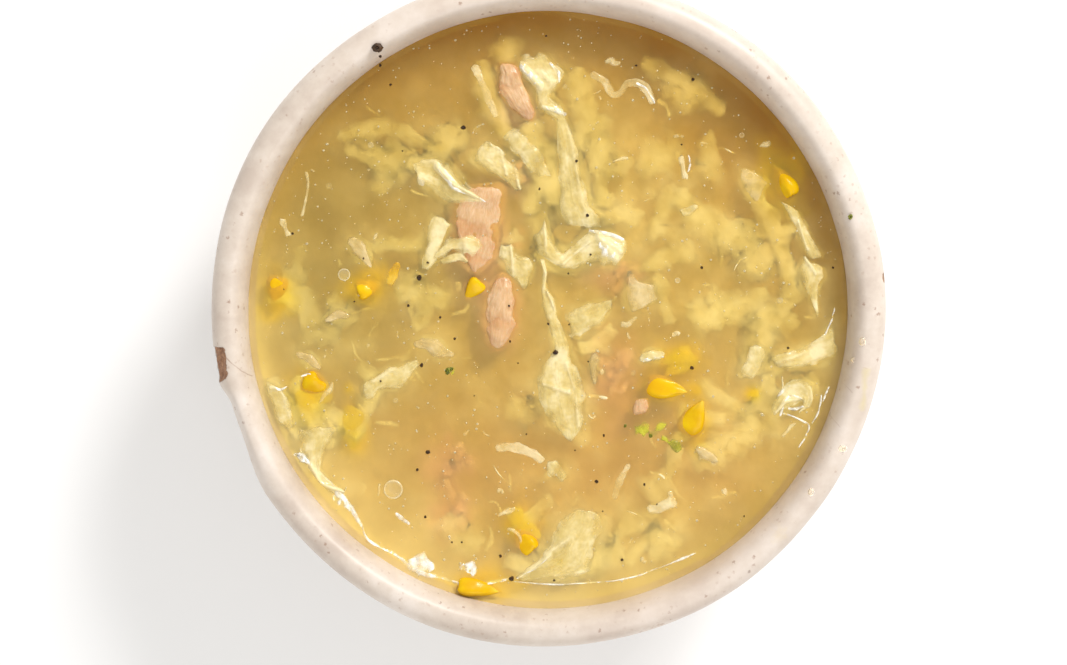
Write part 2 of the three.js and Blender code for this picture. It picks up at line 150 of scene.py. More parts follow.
class Finish:
    """A material and a short way to add nodes to it."""

    def __init__(self, name):
        self.material = bpy.data.materials.new(name)
        self.material.use_nodes = True
        self.tree = self.material.node_tree
        self.skin = self.tree.nodes["Principled BSDF"]

    def put(self, node, key, value):
        socket = node.inputs[key]
        if isinstance(value, bpy.types.NodeSocket):
            self.tree.links.new(value, socket)
        else:
            socket.default_value = value

    def node(self, kind, out=0, inputs=(), **settings):
        made = self.tree.nodes.new("ShaderNode" + kind)
        for key, value in settings.items():
            setattr(made, key, value)
        for key, value in dict(inputs).items():
            self.put(made, key, value)
        return made.outputs[out]

    def place(self):
        return self.node("TexCoord", "Object")

    def mark(self, name, out="Fac"):
        return self.node("Attribute", out, attribute_name=name)

    def noise(self, where, scale, detail=3, rough=0.5, distort=0):
        return self.node("TexNoise", "Fac", {"Vector": where, "Scale": scale, "Detail": detail, "Roughness": rough,
                                             "Distortion": distort})

    def ramp(self, value, *stops):
        """Colours over a value: stops are (position, colour)."""
        made = self.tree.nodes.new("ShaderNodeValToRGB")
        self.tree.links.new(value, made.inputs[0])
        marks = made.color_ramp.elements
        while len(marks) < len(stops):
            marks.new(0.5)
        for mark, (position, _) in zip(marks, stops):
            mark.position = position
        for mark, (_, colour) in zip(marks, stops):
            mark.color = colour
        return made.outputs[0]

    def range(self, value, low, high, to_low=0.0, to_high=1.0):
        return self.node("MapRange", 0, {"Value": value, "From Min": low, "From Max": high, "To Min": to_low,
                                         "To Max": to_high})

    def mix(self, share, a, b, how="MIX"):
        made = self.tree.nodes.new("ShaderNodeMix")
        made.data_type, made.blend_type = "RGBA", how
        self.put(made, 0, share)
        self.put(made, 6, a)
        self.put(made, 7, b)
        return made.outputs[2]

    def math(self, how, a, b=0.0):
        made = self.tree.nodes.new("ShaderNodeMath")
        made.operation = how
        self.put(made, 0, a)
        self.put(made, 1, b)
        return made.outputs[0]

    def times(self, a, b):
        return self.math("MULTIPLY", a, b)

    def plus(self, a, b):
        return self.math("ADD", a, b)

    def larger(self, a, b):
        return self.math("MAXIMUM", a, b)

    def stain(self, colour, share, strength, other):
        """The colour with another laid over it, as strongly as share times strength."""
        return self.mix(self.times(share, strength), colour, other)

    def up(self, where):
        """How high a place is, in metres."""
        return self.node("SeparateXYZ", 2, {"Vector": where})

    def coat(self, weight, blur, bend=1.5):
        """A clear wet layer over the finish."""
        self.set(Coat_Weight=weight, Coat_Roughness=blur, Coat_IOR=bend)

    def bump(self, height, strength, distance, under=None):
        inputs = {"Height": height, "Strength": strength, "Distance": distance}
        if under is not None:
            inputs["Normal"] = under
        return self.node("Bump", 0, inputs)

    def set(self, **values):
        for key, value in values.items():
            self.put(self.skin, key.replace("_", " "), value)
        return self.material

    def sink(self, colour, where, deep=2.6, most=0.85):
        """A colour that turns into the broth's as it goes under."""
        share = self.range(self.up(where), (LEVEL - 0.1) * MM, (LEVEL - deep) * MM, 0.0, most)
        return self.mix(share, colour, MURK)

    def leak(self, share, tint=(1.0, 1.0, 1.0, 1.0)):
        """Lets a share of the lamps' light through, as cloudy and wet things do."""
        lamp_light = self.node("LightPath", "Is Shadow Ray")
        passed = self.node("BsdfTransparent", 0, {"Color": tint})
        mixer = self.tree.nodes.new("ShaderNodeMixShader")
        self.tree.links.new(self.times(lamp_light, share), mixer.inputs[0])
        self.tree.links.new(self.skin.outputs[0], mixer.inputs[1])
        self.tree.links.new(passed, mixer.inputs[2])
        self.tree.links.new(mixer.outputs[0], self.tree.nodes["Material Output"].inputs["Surface"])
        return self.material


MURK = rgb(222, 200, 122)      # what sunk things turn into


# %% [markdown]
# ## The camera and the light
# The photograph looks almost straight down from about 45 cm, leaning a few degrees towards the far side, so a
# little of the near inside wall shows. A camera without perspective would be simpler and would lose that. The light
# is soft and comes from the far right, low enough for the wall to shade the broth below it; a second, smaller lamp
# beside it makes the glints sharper, and a broad one in front opens the shadows.

# %% Camera, floor and light
DOWN = 450.0      # mm from the rim to the camera
LEAN = 5.0        # degrees off straight down
PIXEL = 0.2353    # mm across one pixel of the photograph, at the rim
WIDE = 1067       # pixels across the photograph
SENSOR = 36       # mm
aim = Vector((-3.4, -3.8, TOP)) * MM
back = Vector((0, math.sin(math.radians(LEAN)), math.cos(math.radians(LEAN))))
camera = bpy.data.objects.new("camera", bpy.data.cameras.new("camera"))
bpy.context.collection.objects.link(camera)
camera.location = aim + back * DOWN * MM
camera.rotation_euler = (-math.radians(LEAN), 0, 0)
camera.data.lens = SENSOR * DOWN / (WIDE * PIXEL)
camera.data.clip_start = 0.01
bpy.context.scene.camera = camera

floor_mesh = bpy.data.meshes.new("floor")
FAR = 3.0         # metres from the middle of the floor to its sides
floor_mesh.from_pydata([(-FAR, -FAR, 0), (FAR, -FAR, 0), (FAR, FAR, 0), (-FAR, FAR, 0)], [], [(0, 1, 2, 3)])
floor = bpy.data.objects.new("floor", floor_mesh)
bpy.context.collection.objects.link(floor)
floor_finish = Finish("floor")
floor_mesh.materials.append(floor_finish.set(Base_Color=(0.96, 0.96, 0.96, 1), Roughness=0.9))

world = bpy.data.worlds.new("studio")
world.use_nodes = True
room = world.node_tree.nodes["Background"].inputs
room["Color"].default_value = (1.0, 0.985, 0.96, 1)
room["Strength"].default_value = 0.68
bpy.context.scene.world = world


def lamp(name, bearing, height, distance, size, power, colour=(1, 1, 1)):
    """A square soft lamp aimed at the bowl, in degrees from +X and over the horizon, metres and watts."""
    a, e = math.radians(bearing), math.radians(height)
    light = bpy.data.lights.new(name, "AREA")
    light.size, light.energy, light.color = size, power, colour
    made = bpy.data.objects.new(name, light)
    bpy.context.collection.objects.link(made)
    made.location = Vector((math.cos(a) * math.cos(e), math.sin(a) * math.cos(e), math.sin(e))) * distance
    made.rotation_euler = (-made.location).to_track_quat("-Z", "Y").to_euler()


lamp("window", bearing=56, height=37, distance=1.3, size=0.42, power=8, colour=(1, 0.98, 0.95))
lamp("glint", bearing=60, height=39, distance=1.2, size=0.2, power=3.4)
lamp("fill", bearing=290, height=50, distance=1.6, size=1.0, power=6.5)
bpy.context.scene.view_settings.view_transform = "Standard"
bpy.context.scene.view_settings.look = "None"
print("lens, mm:", round(camera.data.lens, 1), "lamps: 3")

# %% [markdown]
# ## The bowl
# A thick stoneware bowl, thrown on a wheel. A Screw modifier could turn the profile, but then every step round
# would be as wide. Here the same profile as the solid's is turned point by point, with the steps packed close
# round the chip, so that the break can be rough. A chip is cut at the left and a tiny one at the right, and each
# point remembers how much glaze it has lost there.

# %% The bowl's shape
def arc(cx, cy, rx, ry, start, end, steps):
    """Places along part of an oval, in degrees from +X."""
    t = np.radians(np.linspace(start, end, steps))
    return np.stack([cx + rx * np.cos(t), cy + ry * np.sin(t)], 1)


profile = np.concatenate([      # radius and height, from the middle of the underside round to that of the inside
    [[0.01, 4.5], [12, 4.5], [24, 4.5], [34, 4.5], [35.2, 4.3], [35.7, 3.2]],                       # underside
    [[36, 0.5], [36.5, 0.05], [37.5, 0], [39, 0], [40.5, 0], [41.3, 0.1], [41.8, 0.5], [42, 1.2]],  # foot ring
    [[42.1, 3.4], [42.6, 4.3]],
    arc(42, 59.5, 38, 55, -86, -8, 46),         # outside wall
    arc(42, 59.5, 38, 55, -7.5, 0, 12),
    arc(75.5, 59.5, 4.5, 4.5, 4, 90, 22),       # lip
    arc(75.3, 56.2, 3.75, 7.8, 88, 180, 26),
    [[71.5, 55.9], [71.2, 55.3], [70.7, 54.4]],
    arc(34, 52, 35.8, 41.5, -1, -88, 30),       # inside wall and floor
    [[20, 10.5], [8, 10.5], [0.01, 10.5]],
])
CHIP, NICK = 188.9, 6.4      # bearings of the large chip and of a tiny one, in degrees
bearings = np.concatenate([
    np.arange(0, 360, 1.2),
    np.arange(CHIP - 7.5, CHIP + 7.5, 0.16),
    np.arange(NICK - 1.4, NICK + 1.4, 0.15),
])
bearings = np.unique(np.round(bearings, 2))
turn = np.radians(bearings)
radius = np.repeat(profile[:, 0], len(turn)).reshape(len(profile), -1)
height = np.repeat(profile[:, 1], len(turn)).reshape(len(profile), -1)
share = smooth(75, RIM, radius)
radius = radius + share * (0.2 * np.sin(3 * turn + 0.6) + 0.12 * np.sin(7 * turn + 2))
around = flat(np.cos(turn) * 40, np.sin(turn) * 40, 0)
wobble = noise(around, 16, 3)[None, :]
near_rim = smooth(58, TOP, height)
height = height - near_rim * (0.12 + 0.12 * wobble)
# below the chip the rim is worn in
worn = smooth(191, 196, bearings) * (1 - smooth(200, 213, bearings))
radius = radius - 1.7 * share * worn
points = flat(radius * np.cos(turn), radius * np.sin(turn), height)
lumps = rough(points, 9, 5, 2)
points[:, 2] += 0.08 * lumps * near_rim.ravel()
points[:, :2] *= (1 + 0.0012 * rough(points, 14, 8, 2))[:, None]


def scoop(points, bearing, out, down, across, tall, seed):
    """Pushes what lies inside a rough ball back to its surface. Returns how far each point was moved."""
    a = math.radians(bearing)
    centre = np.array([out * math.cos(a), out * math.sin(a), TOP - down])
    away = points - centre
    size = 1 + 0.06 * rough(points, 2.2, seed, 3)
    reach = np.sqrt((away[:, 0] / across) ** 2 + (away[:, 1] / across) ** 2 + (away[:, 2] / tall) ** 2) / size
    inside = reach < 1
    moved = np.zeros(len(points))
    new = centre + away / np.maximum(reach, 0.05)[:, None]
    moved[inside] = np.linalg.norm(new - points, axis=1)[inside]
    points[inside] = new[inside]
    return moved


out = np.hypot(points[:, 0], points[:, 1])
# the large chip: a slanting rough break across the outer half of the rim
side = np.radians(np.degrees(np.arctan2(points[:, 1], points[:, 0])) % 360 - CHIP) * RIM
broken = 76.6 + 0.55 * (63.9 - points[:, 2]) + 0.35 * rough(points, 1.6, 21, 3)
broken = broken + 4 * smooth(-4.6, -5.3, side) + 4 * smooth(2.0, 6.2, side)
chipped = np.where((points[:, 2] > 57) & (np.abs(side) < 7), np.maximum(out - broken, 0), 0)
points[:, :2] *= (1 - chipped / out)[:, None]
chipped = np.maximum(chipped, scoop(points, NICK, RIM + 0.75, 2.6, 1.5, 1.2, 31))
clay = smooth(0.03, 0.22, chipped)
clay = np.maximum(clay, 1 - smooth(0.2, 1.6, points[:, 2] + 0.5 * rough(points, 4, 9, 2)))
print("bowl:", len(points), "points,", int((clay > 0.5).sum()), "of them bare clay")

# %% [markdown]
# ## The glaze
# The glaze is a pale pinkish cream, blushed in patches, with fine iron specks that come up out of the clay. Its
# crack, scratches, stains and one drip are where use has put them. They could be painted on an image; here each
# is a soft line or spot at a place in space, so nothing has to be unwrapped. Bare clay shows brown in the chips
# and under the foot.

# %% The glaze's colour
glaze = Finish("glazed_stoneware")
where = glaze.place()
mottle = glaze.noise(where, 70, 5, 0.68)
cream = glaze.ramp(mottle, (0.34, rgb(203, 187, 173)), (0.5, rgb(216, 202, 188)), (0.66, rgb(227, 215, 204)))
blush = glaze.noise(where, 9, 2)
cream = glaze.mix(glaze.range(blush, 0.45, 0.7, 0, 0.4), cream, rgb(217, 198, 185))


def specks(finish, where, scale, size, seed):
    """1 in small round spots scattered through space."""
    shifted = finish.node("Mapping", 0, {"Vector": where, "Location": (seed, seed * 0.7, seed * 0.3)})
    cell = finish.node("TexVoronoi", "Distance", {"Vector": shifted, "Scale": scale, "Randomness": 1.0})
    cell = finish.plus(cell, finish.range(finish.noise(where, 2600, 2), 0.3, 0.7, -0.5 * size, 0.5 * size))
    return finish.range(cell, size, size * 0.45)


fine = glaze.times(specks(glaze, where, 520, 0.24, 0.31), glaze.range(glaze.noise(where, 90, 2), 0.46, 0.6))
coarse = glaze.times(specks(glaze, where, 300, 0.15, 0.77), glaze.range(glaze.noise(where, 60, 1), 0.47, 0.53))
cream = glaze.stain(cream, fine, 0.45, rgb(178, 150, 130))
cream = glaze.stain(cream, coarse, 0.6, rgb(150, 112, 88))


def spot(finish, where, x, y, z, across, fuzz, squash=(1, 1, 1)):
    """1 inside a soft spot at a place in mm, across mm wide."""
    gap = finish.node("VectorMath", 0, {0: where, 1: (x * MM, y * MM, z * MM)}, operation="SUBTRACT")
    gap = finish.node("VectorMath", 0, {0: gap, 1: squash}, operation="MULTIPLY")
    length = finish.node("VectorMath", "Value", {0: gap}, operation="LENGTH")
    wander = 0.25 * across * MM
    ragged = finish.plus(length, finish.range(finish.noise(where, 900, 2), 0.3, 0.7, -wander, wander))
    return finish.range(ragged, across / 2 * MM, (across / 2 - fuzz) * MM)


def streak(finish, where, start, end, wide, fuzz, wander=0.0):
    """1 along a line on the rim between two places in mm, seen from above."""
    a, b = Vector((*start, 0)) * MM, Vector((*end, 0)) * MM
    along = (b - a).normalized()
    above = finish.range(finish.up(where), 57 * MM, 58 * MM)
    where = finish.node("Mapping", 0, {"Vector": where, "Scale": (1, 1, 0)})
    bent = where
    if wander:
        shake = finish.node("TexNoise", "Color", {"Vector": where, "Scale": 260, "Detail": 3})
        shake = finish.node("VectorMath", 0, {0: shake, 1: (0.5, 0.5, 0.5)}, operation="SUBTRACT")
        shake = finish.node("VectorMath", 0, {0: shake, 1: (wander * MM,) * 3}, operation="MULTIPLY")
        bent = finish.node("VectorMath", 0, {0: where, 1: shake}, operation="ADD")
    gap = finish.node("VectorMath", 0, {0: bent, 1: tuple(a)}, operation="SUBTRACT")
    run = finish.node("VectorMath", "Value", {0: gap, 1: tuple(along)}, operation="DOT_PRODUCT")
    run = finish.node("Clamp", 0, {"Value": run, "Min": 0.0, "Max": (b - a).length})
    line = finish.tree.nodes.new("ShaderNodeVectorMath")
    line.operation = "SCALE"
    line.inputs[0].default_value = tuple(along)
    finish.tree.links.new(run, line.inputs[3])
    off = finish.node("VectorMath", 0, {0: gap, 1: line.outputs[0]}, operation="SUBTRACT")
    off = finish.node("VectorMath", "Value", {0: off}, operation="LENGTH")
    return finish.times(finish.range(off, wide / 2 * MM, (wide / 2 - fuzz) * MM), above)


# %% Marks of use on the glaze
def any_of(*masks):
    """1 where any of these masks is 1."""
    total = masks[0]
    for mask in masks[1:]:
        total = glaze.larger(total, mask)
    return total


crack = any_of(streak(glaze, where, (-76.8, -8.4), (-74.6, -11.0), 0.42, 0.24, 1.1),
             streak(glaze, where, (-74.6, -11.0), (-70.5, -14.6), 0.3, 0.2, 1.1))
seam = any_of(streak(glaze, where, (69.6, -15.6), (71.9, -18.2), 0.3, 0.2, 1),
            streak(glaze, where, (67.5, -24), (69.2, -26.4), 0.3, 0.2, 1))
dots = any_of(spot(glaze, where, 75.4, -30.9, 62, 1.3, 0.4), spot(glaze, where, 68.8, -33.3, 63, 1.1, 0.4),
            spot(glaze, where, 47.9, -60.8, 63, 1.2, 0.4))
scratch = streak(glaze, where, (70.4, -10.6), (75.2, -12.4), 0.3, 0.2, 1.2)
drip = streak(glaze, where, (75.2, -13), (74.6, -22), 2.2, 1.0, 3)
stain = spot(glaze, where, 55.3, -51.9, 64, 5, 2.4)
burr = spot(glaze, where, 27.5, -74.6, 62.5, 2.2, 0.8, (0.5, 1.4, 1))
for mask, strength, tint in ((crack, 0.85, rgb(150, 112, 84)), (seam, 0.55, rgb(160, 128, 104)),
                             (dots, 0.8, rgb(120, 88, 66)), (scratch, 0.5, rgb(176, 140, 112)),
                             (drip, 0.45, rgb(216, 200, 140)), (stain, 0.25, rgb(224, 204, 158)),
                             (burr, 0.7, rgb(168, 130, 96))):
    cream = glaze.stain(cream, mask, strength, tint)

# %% Bare clay, and the bowl
bare = glaze.mark("clay")
grit = glaze.noise(where, 900, 3, 0.7)
clay_colour = glaze.ramp(grit, (0.3, rgb(118, 80, 54)), (0.5, rgb(158, 112, 78)), (0.7, rgb(190, 146, 108)))
# Darker brown where bare clay meets glaze, at the chip and at the foot; at the chip it is painted shade under the
# broken glaze's edge.
clay_edge_and_shade = glaze.times(glaze.range(bare, 0.0, 0.3), glaze.range(bare, 0.95, 0.5))
clay_colour = glaze.stain(clay_colour, clay_edge_and_shade, 0.8, rgb(70, 42, 26))
colour = glaze.mix(bare, cream, clay_colour)
shine = glaze.plus(glaze.range(mottle, 0.3, 0.7, 0.32, 0.48), glaze.times(bare, 0.4))
waves = glaze.bump(glaze.noise(where, 90, 2, 0.5), 0.25, 0.0008)
waves = glaze.bump(glaze.times(grit, bare), 0.8, 0.0004, waves)
glaze.set(Base_Color=colour, Roughness=shine, Normal=waves, IOR=1.5)
glaze.coat(0.1, 0.45)

faces = grid_faces(len(profile), len(turn), closed=True)
piece("stoneware_bowl", points, faces, glaze.material, "glazed_stoneware", ["bowl"], {"clay": clay})
print("glaze:", len(glaze.tree.nodes), "nodes")

# %% [markdown]
# ## Torn leaves and strands
# A torn leaf of cabbage is a thin wavy sheet along a spine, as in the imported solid, with many more steps. Cloth
# dropped on the broth would fold by itself but not where the photograph shows folds, so they are worked out.
# Pleats shift the leaf sideways as well as up and down, so that it doubles over itself as soft wet leaf does. Its
# edges are ragged and dip towards the broth.

# %% Spines and sides
def curve(spine, rows):
    """Places, headings and widths along a smooth line through [x, y, width] rows."""
    spine = np.asarray(spine, float)
    n = len(spine)
    t = np.linspace(0, n - 1, rows)
    i = np.minimum(t.astype(int), n - 2)
    w = (t - i)[:, None]
    p0, p1, p2, p3 = (spine[np.clip(i + k, 0, n - 1), :2] for k in (-1, 0, 1, 2))
    v0, v1 = (p2 - p0) / 2, (p3 - p1) / 2
    place = (2 * p1 - 2 * p2 + v0 + v1) * w**3 + (-3 * p1 + 3 * p2 - 2 * v0 - v1) * w**2 + v0 * w + p1
    ahead = np.gradient(place, axis=0)
    ahead /= np.maximum(np.linalg.norm(ahead, axis=1), 1e-9)[:, None]
    width = spine[i, 2] + (spine[i + 1, 2] - spine[i, 2]) * w[:, 0]
    return place, ahead, width


def edges_of(spine, rows):
    """The two sides of a strip along a spine, row by row."""
    place, ahead, width = curve(spine, rows)
    out = np.stack([-ahead[:, 1], ahead[:, 0]], 1) * width[:, None] / 2
    return place - out, place + out


def even(line, rows):
    """A traced line, resampled at even steps with its corners kept."""
    line = np.asarray(line, float)
    run = np.append(0, np.cumsum(np.linalg.norm(np.diff(line, axis=0), axis=1)))
    t = np.linspace(0, run[-1], rows)
    return np.stack([np.interp(t, run, line[:, k]) for k in (0, 1)], 1)


# %% A leaf
def leaf(spine=None, sides=None, rise=0.5, ripple=0.3, waves=1.2, curl=-0.2, jag=0.35, seed=1, crease=0.28, slip=0.12,
         thick=0.28, dip=0.35, crinkle=0.16, fine=0.4, clear=0.8, crests=()):
    """A thin closed wavy sheet, along a spine or between two traced sides, in mm.
    rise: over the broth. ripple, waves: height and number of the long folds. curl: how far both sides bend up.
    jag: how torn the sides are. crease, crinkle: height of the smaller folds. slip: how far they fold over
    sideways. dip: how far the edge sinks. fine: size of a step. clear: how solid the leaf looks.
    crests: x and y of both ends, height and half width of the sharper folds."""
    traced = np.asarray(spine if sides is None else sides[0], float)[:, :2]
    rows = int(np.clip(np.linalg.norm(np.diff(traced, axis=0), axis=1).sum() / fine, 16, 150))
    left, right = edges_of(spine, rows) if sides is None else (even(sides[0], rows), even(sides[1], rows))
    middle, half = (left + right) / 2, (right - left) / 2
    width = np.maximum(2 * np.linalg.norm(half, axis=1), 0.05)[:, None]
    length = np.linalg.norm(np.diff(middle, axis=0), axis=1).sum()
    ahead = np.gradient(middle, axis=0)
    ahead /= np.maximum(np.linalg.norm(ahead, axis=1), 1e-9)[:, None]
    columns = int(np.clip(width.max() / fine * 1.2, 9, 48))
    s = np.linspace(0, 1, rows)[:, None]
    v = np.linspace(-1, 1, columns)[None, :]
    along, across = s * length + 0 * v, v * width / 2

    def field(size, n, stretch=1.0):
        """Noise over the leaf, drawn out along it."""
        return noise(flat(across, along / stretch, seed * 7.0 + n), size, seed + n).reshape(rows, columns)

    tear = [rough(flat(s * length, 0, seed * 7.0 + n), 2.4, seed + n, 3).reshape(rows, 1) for n in (1, 2)]
    ends = np.clip(np.minimum(s, 1 - s) * length / (0.35 * max(width.max(), 1.5)), 0, 1)
    u = v * (1 + jag * np.where(v < 0, tear[0], tear[1]) * np.abs(v) ** 1.5)
    if sides is None:
        u = u * (0.3 + 0.7 * np.sqrt(ends * (2 - ends)))
    else:
        u = v * (1 + 0.3 * (u / np.where(v == 0, 1, v) - 1))
    u = u + slip * field(1.5, 5, 3.5) * (1 - v**4)
    frayed = field(1.7, 6)      # how far both ends are drawn out
    x = middle[:, :1] + half[:, :1] * u + ahead[:, :1] * frayed * 0.7 * (1 - ends)
    y = middle[:, 1:] + half[:, 1:] * u + ahead[:, 1:] * frayed * 0.7 * (1 - ends)
    drift = field(6, 7)
    folds = ripple * np.sin(2 * math.pi * waves * s + 1.3 * v + seed + 1.5 * drift)
    creases = crease * (0.42 - np.abs(field(3.0, 8, 3.0))) + 0.3 * crease * (0.42 - np.abs(field(1.5, 9, 1.6)))
    creases = creases * np.minimum(1, width / 4)
    for x0, y0, x1, y1, tall, wide in crests:
        run = np.array([x1 - x0, y1 - y0])
        share = np.clip(((x - x0) * run[0] + (y - y0) * run[1]) / (run @ run), 0, 1)
        off = np.hypot(x - x0 - share * run[0], y - y0 - share * run[1])
        creases = creases + tall * np.exp(-((off / wide) ** 2))
    puckers = crinkle * (0.4 - np.abs(field(0.9, 10)))
    edge = np.maximum(np.abs(v) + 0 * s, 1 - ends)
    z = LEVEL + rise + folds + creases + puckers + curl * v**2 - dip * smooth(0.6, 1.0, edge) * (0.8 + 0.9 * frayed)
    body = thick / 2 * (1 - 0.75 * edge**4)
    n = rows * columns
    border = np.concatenate([
        np.arange(0, (rows - 1) * columns, columns), np.arange((rows - 1) * columns, n - 1),
        np.arange(n - 1, columns - 1, -columns), np.arange(columns - 1, 0, -1)])
    after = np.roll(border, -1)
    faces = grid_faces(rows, columns)
    faces = np.concatenate([faces[:, ::-1], faces + n, np.stack([border, after, after + n, border + n], 1)])
    points = np.concatenate([flat(x, y, z + body), flat(x, y, z - body)])
    if np.cross(half[rows // 2], ahead[rows // 2]) > 0:
        faces = faces[:, ::-1]
    marks = {"edge": edge, "crest": creases + puckers, "along": along, "across": across,
             "tone": 0 * along + math.sin(seed * 12.9) % 1, "body": 0 * along + clear}
    return points, faces, {key: np.tile(value.ravel(), 2) for key, value in marks.items()}


# %% [markdown]
# ## The finish of wet cabbage
# Cooked white cabbage is pale yellow, nearly see-through where it is thin, whiter on torn edges, and it has fine
# veins. Its crests are painted whiter as well, a painted highlight. Real translucency would need light to scatter
# inside a sheet 0.3 mm thick, which is slow; here the thin parts are partly see-through, and a coat of broth makes
# the leaf shine.

# %% The finish of leaves
def wet_leaf(name, deep, pale, glow, veins=1.0):
    """A translucent wet leaf in three tones, the last for its hems and veins and as a painted highlight on its
    crests.
    """
    m = Finish(name)
    where = m.place()
    cloud = m.noise(where, 170, 3, 0.62)
    torn = m.noise(where, 210, 2, 0.55)
    colour = m.ramp(cloud, (0.34, deep), (0.5, pale), (0.68, glow))
    crest = m.range(m.mark("crest"), 0.12, 0.45)
    lines = m.node("CombineXYZ", 0, {"X": m.times(m.mark("across"), 1.3), "Y": m.times(m.mark("along"), 0.12)})
    vein = m.noise(lines, 1.6, 3, 0.6, 0.8)
    streaks = m.times(m.range(vein, 0.45, 0.68), veins)
    hem = m.times(m.range(m.mark("edge"), 0.8, 0.92, 0, 0.55), m.range(torn, 0.42, 0.6))
    # Whiter on hems and veins, and on crests as a painted highlight.
    thick = m.larger(hem, m.times(crest, 0.85))
    thick = m.larger(thick, m.times(streaks, 0.45))
    colour = m.sink(m.mix(m.times(thick, 0.85), colour, glow), where, 1.8)
    film = m.times(m.range(cloud, 0.35, 0.65, 0.5, 0.95), m.mark("body"))
    melt = m.range(m.math("SUBTRACT", m.mark("edge"), m.range(torn, 0.4, 0.62, -0.04, 0.45)), 0.98, 0.45)
    melt = m.larger(melt, m.times(crest, 0.5))
    under = m.range(m.up(where), (LEVEL - 1.2) * MM, (LEVEL - 0.1) * MM, 0.2, 1.0)
    solid = m.range(m.larger(film, thick), 0.0, 1.0, 0.0, 0.96)
    alpha = m.times(m.times(solid, melt), under)
    crinkle = m.bump(m.noise(where, 800, 2, 0.65), 0.35, 0.0005)
    crinkle = m.bump(vein, 0.35, 0.0004, crinkle)
    m.set(Base_Color=colour, Roughness=m.range(torn, 0.3, 0.7, 0.13, 0.33), Normal=crinkle, Alpha=alpha, IOR=1.38)
    m.coat(0.8, 0.05, WATER)
    return m.leak(0.85)


cabbage_finish = wet_leaf("cabbage", rgb(214, 190, 112), rgb(226, 205, 132), rgb(244, 230, 180))
flake_finish = wet_leaf("flake", rgb(208, 180, 112), rgb(218, 192, 130), rgb(232, 212, 162), 0.6)
thread_finish = wet_leaf("strand", rgb(218, 190, 118), rgb(230, 206, 140), rgb(246, 230, 182), 0.3)
skin_finish = wet_leaf("corn_skin", rgb(206, 150, 20), rgb(232, 184, 40), rgb(246, 214, 90), 0.3)
green_finish = wet_leaf("green_onion", rgb(128, 128, 20), rgb(164, 160, 36), rgb(198, 190, 80), 0.6)

# %% [markdown]
# ## Each leaf
# Broad leaves are traced as two sides and slim ones as a spine of x, y and width, all in mm, with the sharper folds
# given one by one. Below each leaf hangs a broader, lower copy of it, as the part that is under the surface.

